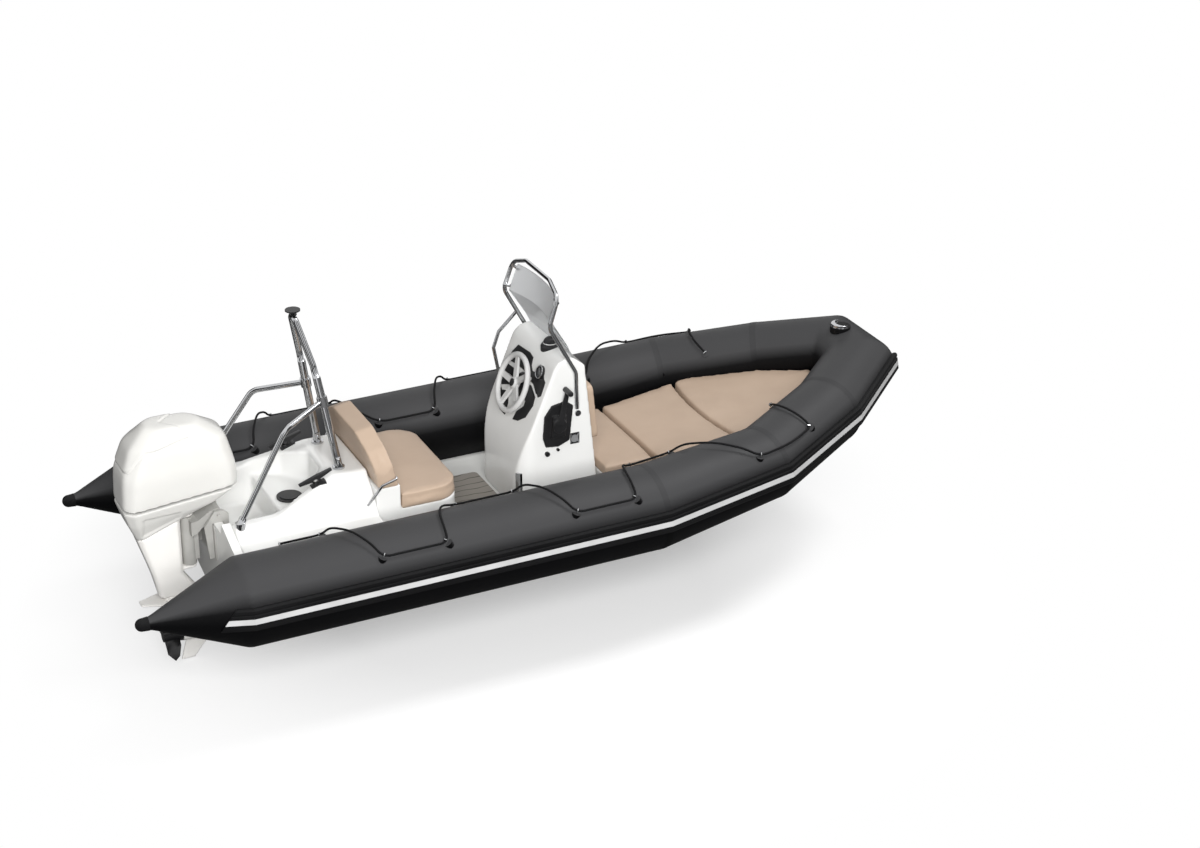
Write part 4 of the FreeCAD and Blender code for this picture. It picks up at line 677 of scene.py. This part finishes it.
class BoatSizes(bpy.types.PropertyGroup):
    """Sizes of the soft and moulded skins."""
    collar_voxel: bpy.props.FloatProperty(
        name="Collar mesh", description="Mesh size of the inflated collar", default=0.0155, unit="LENGTH")
    mould_voxel: bpy.props.FloatProperty(
        name="Moulding mesh", description="Mesh size of the gelcoat mouldings", default=0.007, unit="LENGTH")
    pad_voxel: bpy.props.FloatProperty(
        name="Cushion mesh", description="Mesh size of the cushions", default=0.007, unit="LENGTH")
    pad_crown: bpy.props.FloatProperty(
        name="Cushion crown", description="How far the filling swells a cushion", default=0.005,
        unit="LENGTH")
    tape_width: bpy.props.FloatProperty(
        name="Seam tape", description="Width of the tape over a seam of the collar", default=0.04,
        unit="LENGTH")
    tape_thick: bpy.props.FloatProperty(
        name="Tape thickness", description="Thickness of the seam tape", default=0.0012, unit="LENGTH")


class BoatStage(bpy.types.PropertyGroup):
    """The floor, lights and camera."""
    floor_drop: bpy.props.FloatProperty(
        name="Floor", description="Gap between the lowest point and the floor", default=0.004, unit="LENGTH")
    lens: bpy.props.FloatProperty(
        name="Lens", description="Focal length in millimetres", default=71.55)
    key_watts: bpy.props.FloatProperty(
        name="Key light", description="Power of the key light", default=550.0, unit="POWER")
    fill_share: bpy.props.FloatProperty(
        name="Fill light", description="Fill light as a share of the key", default=3.6)
    sky_strength: bpy.props.FloatProperty(
        name="Sky", description="Strength of the even light from all round", default=0.3)
    floor_white: bpy.props.FloatProperty(
        name="Floor white", description="Share of the floor's own white", default=0.22)


MATERIALS = {}


# ---------------------------------------------------------------- operators

def any_ray(tree, *kinds):
    """1 for a ray of any of the named kinds, or else 0."""
    path = add_node(tree, "ShaderNodeLightPath")
    found = path.outputs[kinds[0]]
    for kind in kinds[1:]:
        found = add_node(tree, "ShaderNodeMath", {"operation": "MAXIMUM"},
                         {0: found, 1: path.outputs[kind]}).outputs[0]
    return found


def stage_sheet(name, corners, material):
    """A flat stage piece with the given corners."""
    build = bmesh.new()
    build.faces.new([build.verts.new(corner) for corner in corners])
    made = placed(name, finished(build, name))
    made.data.materials.append(material)
    return made


def white_world(settings):
    """White where it is looked at, through glass or in a reflection too; soft sky light otherwise."""
    world = bpy.data.worlds.new("studio")
    bpy.context.scene.world = world
    world.use_nodes = True
    tree = world.node_tree
    tree.nodes.clear()
    seen = any_ray(tree, "Is Camera Ray", "Is Transmission Ray", "Is Glossy Ray")
    strength = add_node(tree, "ShaderNodeMapRange", {"To Min": settings.sky_strength, "To Max": 1.0},
                        {"Value": seen})
    back = add_node(tree, "ShaderNodeBackground", {"Color": (1.0, 1.0, 1.0, 1.0)},
                    {"Strength": strength.outputs[0]})
    add_node(tree, "ShaderNodeOutputWorld", None, {"Surface": back.outputs[0]})


def paper_floor(settings, low):
    """Matt white sheet: part of what the camera sees of it is its own white, so the shadow stays light."""
    # It looks grey to the boat, so that its underside and the metal don't take up too much light
    material, tree, shader = new_material("matt_studio_floor", "#fbfbfb", Roughness=0.95,
                                          Specular_IOR_Level=0.0)
    paper = add_node(tree, "ShaderNodeMix", {"data_type": "RGBA"},
                     {"Factor": any_ray(tree, "Is Diffuse Ray", "Is Glossy Ray")})
    paper.inputs[6].default_value = linear("#fbfbfb")
    paper.inputs[7].default_value = linear("#6e6e6e")
    tree.links.new(paper.outputs[2], shader.inputs["Base Color"])
    own = add_node(tree, "ShaderNodeEmission", {"Color": (1.0, 1.0, 1.0, 1.0), "Strength": 1.0})
    spot = add_node(tree, "ShaderNodeNewGeometry").outputs["Position"]
    away = add_node(tree, "ShaderNodeVectorMath", {"operation": "DISTANCE", 1: (FLOOR_MIDDLE_X, 0.0, low)},
                    {0: spot}).outputs["Value"]
    share = add_node(tree, "ShaderNodeMath", {"operation": "MULTIPLY"},
                     {0: any_ray(tree, "Is Camera Ray", "Is Transmission Ray"),
                      1: spread(tree, away, settings.floor_white, 1.0, *FLOOR_BLEND)})
    mixed = add_node(tree, "ShaderNodeMixShader", None,
                     {0: share.outputs[0], 1: shader.outputs[0], 2: own.outputs[0]})
    tree.links.new(mixed.outputs[0], tree.nodes["Material Output"].inputs["Surface"])
    corners = [(x * FLOOR_REACH, y * FLOOR_REACH, low) for x, y in ((-1, -1), (1, -1), (1, 1), (-1, 1))]
    stage_sheet("studio_floor", corners, material)


def black_cards(low):
    """Cards out of the picture that only reflections see: they draw the dark streaks of polished metal."""
    felt = new_material("black_card_felt", "#0a0a0a", Roughness=1.0)[0]
    for number, (azimuth, half_width) in enumerate(CARDS):
        turn = math.radians(azimuth)
        toward = Vector((math.cos(turn), math.sin(turn), 0.0))
        across = Vector((-toward.y, toward.x, 0.0)) * half_width
        foot = toward * CARD_DISTANCE + Vector((FLOOR_MIDDLE_X, 0.0, low + CARD_RISE))
        top = foot + Vector((0.0, 0.0, CARD_HEIGHT))
        corners = (foot - across, foot + across, top + across, top - across)
        card = stage_sheet("black_card_%d" % number, corners, felt)
        card.visible_camera = card.visible_diffuse = False
        card.visible_shadow = card.visible_transmission = False


class BOAT_OT_stage(bpy.types.Operator):
    """Floor, soft lights and camera"""
    bl_idname = "boat.stage"
    bl_label = "Stage"

    def execute(self, context):
        settings = context.scene.boat_stage
        context.scene.view_settings.view_transform = "Standard"
        low = CAD_BOX[0][2] - settings.floor_drop
        white_world(settings)
        paper_floor(settings, low)
        black_cards(low)

        for name, place, size, share in LAMPS:
            lamp = bpy.data.lights.new(name, "AREA")
            lamp.energy = settings.key_watts * (share or settings.fill_share)
            lamp.size = size
            light = placed(name, lamp)
            light.location = place
            light.visible_glossy = name == "key_light"
            light.rotation_euler = (LAMP_TARGET - Vector(place)).to_track_quat("-Z", "Y").to_euler()

        camera = placed("camera", bpy.data.cameras.new("camera"))
        camera.location = CAMERA_PLACE
        camera.rotation_euler = [math.radians(turn) for turn in CAMERA_TURN]
        camera.data.sensor_width = SENSOR_WIDTH
        camera.data.lens = settings.lens
        camera.data.clip_end = 200.0
        context.scene.camera = camera
        return {"FINISHED"}


class BOAT_OT_collar(bpy.types.Operator):
    """The inflated collar with its caps, strakes, patches and lines"""
    bl_idname = "boat.collar"
    bl_label = "Inflated collar"

    def execute(self, context):
        sizes = context.scene.boat_sizes
        tubes = ("tube_port", "tube_starboard", "tube_bow")
        skin = softened(joined(*tubes, "cone_caps"), sizes.collar_voxel, 5)
        tapes = []
        for side in (-1, 1):
            line = [Vector((x, side * y, z)) for x, y, z in COLLAR_LINE]
            for before, here, after in zip(line, line[1:], line[2:]):
                normal = ((here - before).normalized() + (after - here).normalized()).normalized()
                tapes.append(cut_band(skin, here, normal, sizes.tape_width, TAPE_REACH, sizes.tape_thick))
        show("inflated_collar", skin, MATERIALS["fabric"], "hull", *tubes, slot="tube_fabric")
        show("collar_seam_tapes", merged(tapes), MATERIALS["tape"], "hull", slot="tube_fabric")
        painted(cone_caps="rubber", rub_strakes="rubber", rub_stripes="strip", line_patches="fabric",
                line_eyes="steel", grab_lines="rope", bow_fairlead="black")
        edged("rub_strakes", CAST_EDGE)
        lead = softened(joined("bow_fairlead"), 0.0025, 3)
        crest = max(vert.co.z for vert in lead.vertices)
        kinds = [1 if face.center.z > crest - LEAD_PLATE else 0 for face in lead.polygons]
        made = show("fairlead_pad", lead, MATERIALS["rubber"], "hull", "bow_fairlead", slot="black_plastic")
        toned(made, kinds, MATERIALS["steel"])
        return {"FINISHED"}


class BOAT_OT_hull(bpy.types.Operator):
    """Hull, sole, locker, stern moulding and their fittings"""
    bl_idname = "boat.hull"
    bl_label = "Hull and mouldings"

    def execute(self, context):
        sizes = context.scene.boat_sizes
        for node, name, coarser, passes in (("stern_moulding", "stern_deck", 1.45, 8),
                                            ("bow_locker", "bow_locker_shell", 1.8, 2),
                                            ("bench_base", "bench_moulding", 1.5, 4)):
            skin = softened(joined(node), sizes.mould_voxel * coarser, passes)
            show(name, skin, MATERIALS["gelcoat"], "hull", node, slot="gelcoat")
        painted(hull_bottom="gelcoat", cockpit_sole="walkway", nonskid_panel="decking",
                transom_pad="bracket", well_hatch="black", bow_eye="steel")
        cleats = []
        for cleat in islands(joined("stern_cleats")):
            start = middle(cleat) - Vector((0.0, CLEAT_ARCH_RUN / 2, CLEAT_ARCH_DROP))
            rod = dome(start, (0, 1, 0), ((CLEAT_ARCH, 0.0), (CLEAT_ARCH, CLEAT_ARCH_RUN)))
            arch = placed("cleat_arch", rod)
            form = placed("cleat", cleat)
            opening = form.modifiers.new("Opening between its feet", "BOOLEAN")
            opening.object = arch
            opening.solver = "EXACT"
            edge = form.modifiers.new("Rounded edges", "BEVEL")
            edge.width = CAST_EDGE
            edge.segments = 2
            cleats.append(settled(form))
            bpy.data.objects.remove(arch)
        show("cleats", merged(cleats), MATERIALS["black"], "hull", "stern_cleats", slot="black_plastic")
        return {"FINISHED"}


class BOAT_OT_seats(bpy.types.Operator):
    """The padded seats, backrests and bow cushions"""
    bl_idname = "boat.seats"
    bl_label = "Cushions"

    def execute(self, context):
        sizes = context.scene.boat_sizes

        def on_its_underside(normal):
            return normal.z < -SQUARELY

        def against_the_console(normal):
            return normal.x < -SQUARELY

        for node, name, voxel, rests in (
                ("bench_cushion", "bench_seat_pad", sizes.pad_voxel, on_its_underside),
                ("bench_backrest", "bench_back_pad", sizes.pad_voxel, on_its_underside),
                ("bow_cushions", "bow_pads", sizes.pad_voxel * 1.5, on_its_underside),
                ("bow_backrest", "bow_back_pad", sizes.pad_voxel, against_the_console)):
            pads = [plumped(pad, voxel, sizes.pad_crown, rests) for pad in islands(joined(node))]
            made = show(name, merged(pads), MATERIALS["vinyl"], "hull", node, slot="tan_vinyl")
        return {"FINISHED"}


class BOAT_OT_console(bpy.types.Operator):
    """Console, dash, wheel, compass, engine control and windscreen"""
    bl_idname = "boat.console"
    bl_label = "Console"

    def execute(self, context):
        sizes = context.scene.boat_sizes
        skin = softened(joined("console_shell"), sizes.mould_voxel * 1.2, 8)
        show("console_moulding", skin, MATERIALS["gelcoat"], "hull", "console_shell", slot="gelcoat")
        tree = BVHTree.FromPolygons([vert.co for vert in skin.vertices],
                                    [face.vertices[:] for face in skin.polygons])
        inlays = [draped(corners, tree) for corners in DASH_INLAYS]
        made = show("dash_inlays", merged(inlays), MATERIALS["black"], "hull", slot="black_plastic")
        for face in made.data.polygons:
            face.use_smooth = False
        smooth_copy("windscreen_frame", "screen_frame", "steel", "hull", "steel")
        smooth_copy("hand_rails", "rails", "steel", "hull", "steel")
        smooth_copy("steering_wheel", "wheel", "grey", "helm_wheel", "grey_plastic")
        show("engine_control", softened(joined("throttle_control"), 0.0042, 4), MATERIALS["black"], "hull",
             "throttle_control", slot="black_plastic")
        painted(dash_panels="black", compass="black", helm_shaft="black", windscreen_glass="acrylic")
        edged("dash_panels", PANEL_EDGE)

        # Fittings by where they sit: the latch low on the aft side and the frame's foot are polished steel,
        # the square socket is mid grey in a black rim, the two knobs under the control are black
        steel, socket, black = 0, 1, 2
        parts = islands(joined("console_fittings"))
        for part in parts:
            centre = middle(part)
            if centre.x < LATCH_X or centre.z > FRAME_FOOT_Z:
                kind = steel
            else:
                kind = socket if centre.x > SOCKET_X else black
            for face in part.polygons:
                off = face.center - centre
                at_rim = kind == socket and max(abs(off.x), abs(off.z)) > SOCKET_FACE
                face.material_index = black if at_rim else kind
        mesh = merged(parts)
        kinds = [face.material_index for face in mesh.polygons]
        made = show("console_hardware", mesh, MATERIALS["steel"], "hull", "console_fittings",
                    slot="black_plastic")
        toned(made, kinds, MATERIALS["socket"], MATERIALS["black"])
        for face in mesh.polygons:
            face.use_smooth = False

        # Gauge bezel and its glass, standing on the dash; hub cap on the wheel
        gauge = DASH_FOOT + DASH_RUN * GAUGE_UP + Vector((0.0, GAUGE_SIDE, 0.0)) + DASH_OUT * GAUGE_STAND
        show("gauge_bezel", ring(gauge, DASH_OUT, *GAUGE_BEZEL), MATERIALS["steel"], "hull")
        glass = dome(gauge - DASH_OUT * GLASS_SINK, DASH_OUT, GAUGE_GLASS)
        show("gauge_glass", glass, MATERIALS["dial"], "hull")
        hub = DASH_FOOT + DASH_RUN * HUB_UP + DASH_OUT * HUB_STAND
        show("wheel_hub_cap", dome(hub, DASH_OUT, HUB_CAP), MATERIALS["black"], "helm_wheel")
        # Ring round the compass, over its black base
        low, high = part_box("compass")
        centre = ((low[0] + high[0]) / 2, (low[1] + high[1]) / 2, high[2] - COMPASS_RING_DROP)
        show("compass_ring", ring(centre, (0, 0, 1), *COMPASS_RING), MATERIALS["grey"], "hull")
        return {"FINISHED"}


class BOAT_OT_arch(bpy.types.Operator):
    """The ski arch with its stays, feet and tow spool"""
    bl_idname = "boat.arch"
    bl_label = "Ski arch"

    def execute(self, context):
        for node, name, key, slot in (
                ("arch_legs", "arch_tube", "steel", "steel"),
                ("arch_stays", "back_stays", "steel", "steel"),
                ("arch_fittings", "arch_feet_and_collars", "steel", "steel"),
                ("tow_spool", "spool", "black", "black_plastic")):
            smooth_copy(node, name, key, "hull", slot)
        return {"FINISHED"}


def cowl_relief(place):
    """Lift of the cowl's skin: a raised back panel with a swept edge, and the lip over the seam."""
    x, side, z = place.x, abs(place.y), place.z
    # The panel's lower edge climbs forward, its front edge is a V, and a groove runs round it
    sweep = 0.765 + 0.125 * ease(x, -0.43, -0.29) + 0.04 * ease(x, -0.29, -0.03)
    front = -0.03 - 0.15 * (1.0 - min(side / 0.15, 1.0))
    inside = min(z - sweep, front - x)
    panel = ease(inside, -0.006, 0.006) - 0.8 * max(0.0, 1.0 - abs(inside + 0.007) / 0.008)
    seam = 0.547 + (x + 0.1075) * 0.0934
    lip = 1.0 - ease(z, seam + 0.014, seam + 0.022)
    return 0.006 * panel + 0.005 * lip


def apron_relief(place):
    """The apron's hollowed side panel, with a lower edge that climbs forward."""
    x, side, z = place.x, abs(place.y), place.z
    low = 0.30 + 0.35 * (x + 0.36)
    between_heights = ease(z, low + 0.02, low + 0.045) * (1.0 - ease(z, 0.46, 0.48))
    between_ends = ease(x, -0.36, -0.33) * (1.0 - ease(x, -0.14, -0.11))
    return -0.008 * between_heights * between_ends * ease(side, 0.05, 0.07)


class BOAT_OT_outboard(bpy.types.Operator):
    """The outboard motor on its clamps"""
    bl_idname = "boat.outboard"
    bl_label = "Outboard motor"

    def execute(self, context):
        for node, name, key, slot, voxel, passes, relief in (
                ("engine_cowl", "cowl_shell", "enamel", "motor_white", 0.0062, 150, cowl_relief),
                ("engine_apron", "apron_shell", "enamel", "motor_white", 0.006, 40, apron_relief),
                ("engine_leg", "leg_casting", "silver", "motor_silver", 0.0058, 12, None),
                ("engine_gearcase", "gearcase_casting", "silver", "motor_silver", 0.005, 4, None)):
            skin = softened(joined(node), voxel, passes)
            if relief:
                skin = shaped(skin, relief)
            show(name, skin, MATERIALS[key], "motor", node, slot=slot)
        painted(engine_clamps="bracket", engine_swivel="bracket", engine_powerhead="cast_black",
                propeller="cast_black")
        edged("engine_clamps", CAST_EDGE)
        edged("engine_swivel", CAST_EDGE)
        return {"FINISHED"}


class BOAT_PT_panel(bpy.types.Panel):
    """Lists the boat's pieces"""
    bl_label = "Rigid inflatable boat"
    bl_idname = "BOAT_PT_panel"
    bl_space_type = "VIEW_3D"
    bl_region_type = "UI"
    bl_category = "Boat"

    def draw(self, context):
        for group in (context.scene.boat_colours, context.scene.boat_sizes, context.scene.boat_stage):
            for key in group.__annotations__:
                self.layout.prop(group, key)
        for operator in OPERATORS:
            self.layout.operator(operator.bl_idname)


GROUPS = (BoatColours, BoatSizes, BoatStage)
OPERATORS = (BOAT_OT_stage, BOAT_OT_collar, BOAT_OT_hull, BOAT_OT_seats, BOAT_OT_console, BOAT_OT_arch,
             BOAT_OT_outboard)


def register():
    for made in GROUPS + OPERATORS + (BOAT_PT_panel,):
        bpy.utils.register_class(made)
    bpy.types.Scene.boat_colours = bpy.props.PointerProperty(type=BoatColours)
    bpy.types.Scene.boat_sizes = bpy.props.PointerProperty(type=BoatSizes)
    bpy.types.Scene.boat_stage = bpy.props.PointerProperty(type=BoatStage)


def unregister():
    del bpy.types.Scene.boat_stage
    del bpy.types.Scene.boat_sizes
    del bpy.types.Scene.boat_colours
    for made in reversed(GROUPS + OPERATORS + (BOAT_PT_panel,)):
        bpy.utils.unregister_class(made)


def main():
    register()
    MATERIALS.update(make_materials(bpy.context.scene.boat_colours))
    for operator in OPERATORS:
        group, name = operator.bl_idname.split(".")
        getattr(getattr(bpy.ops, group), name)()


if __name__ == "__main__":
    main()
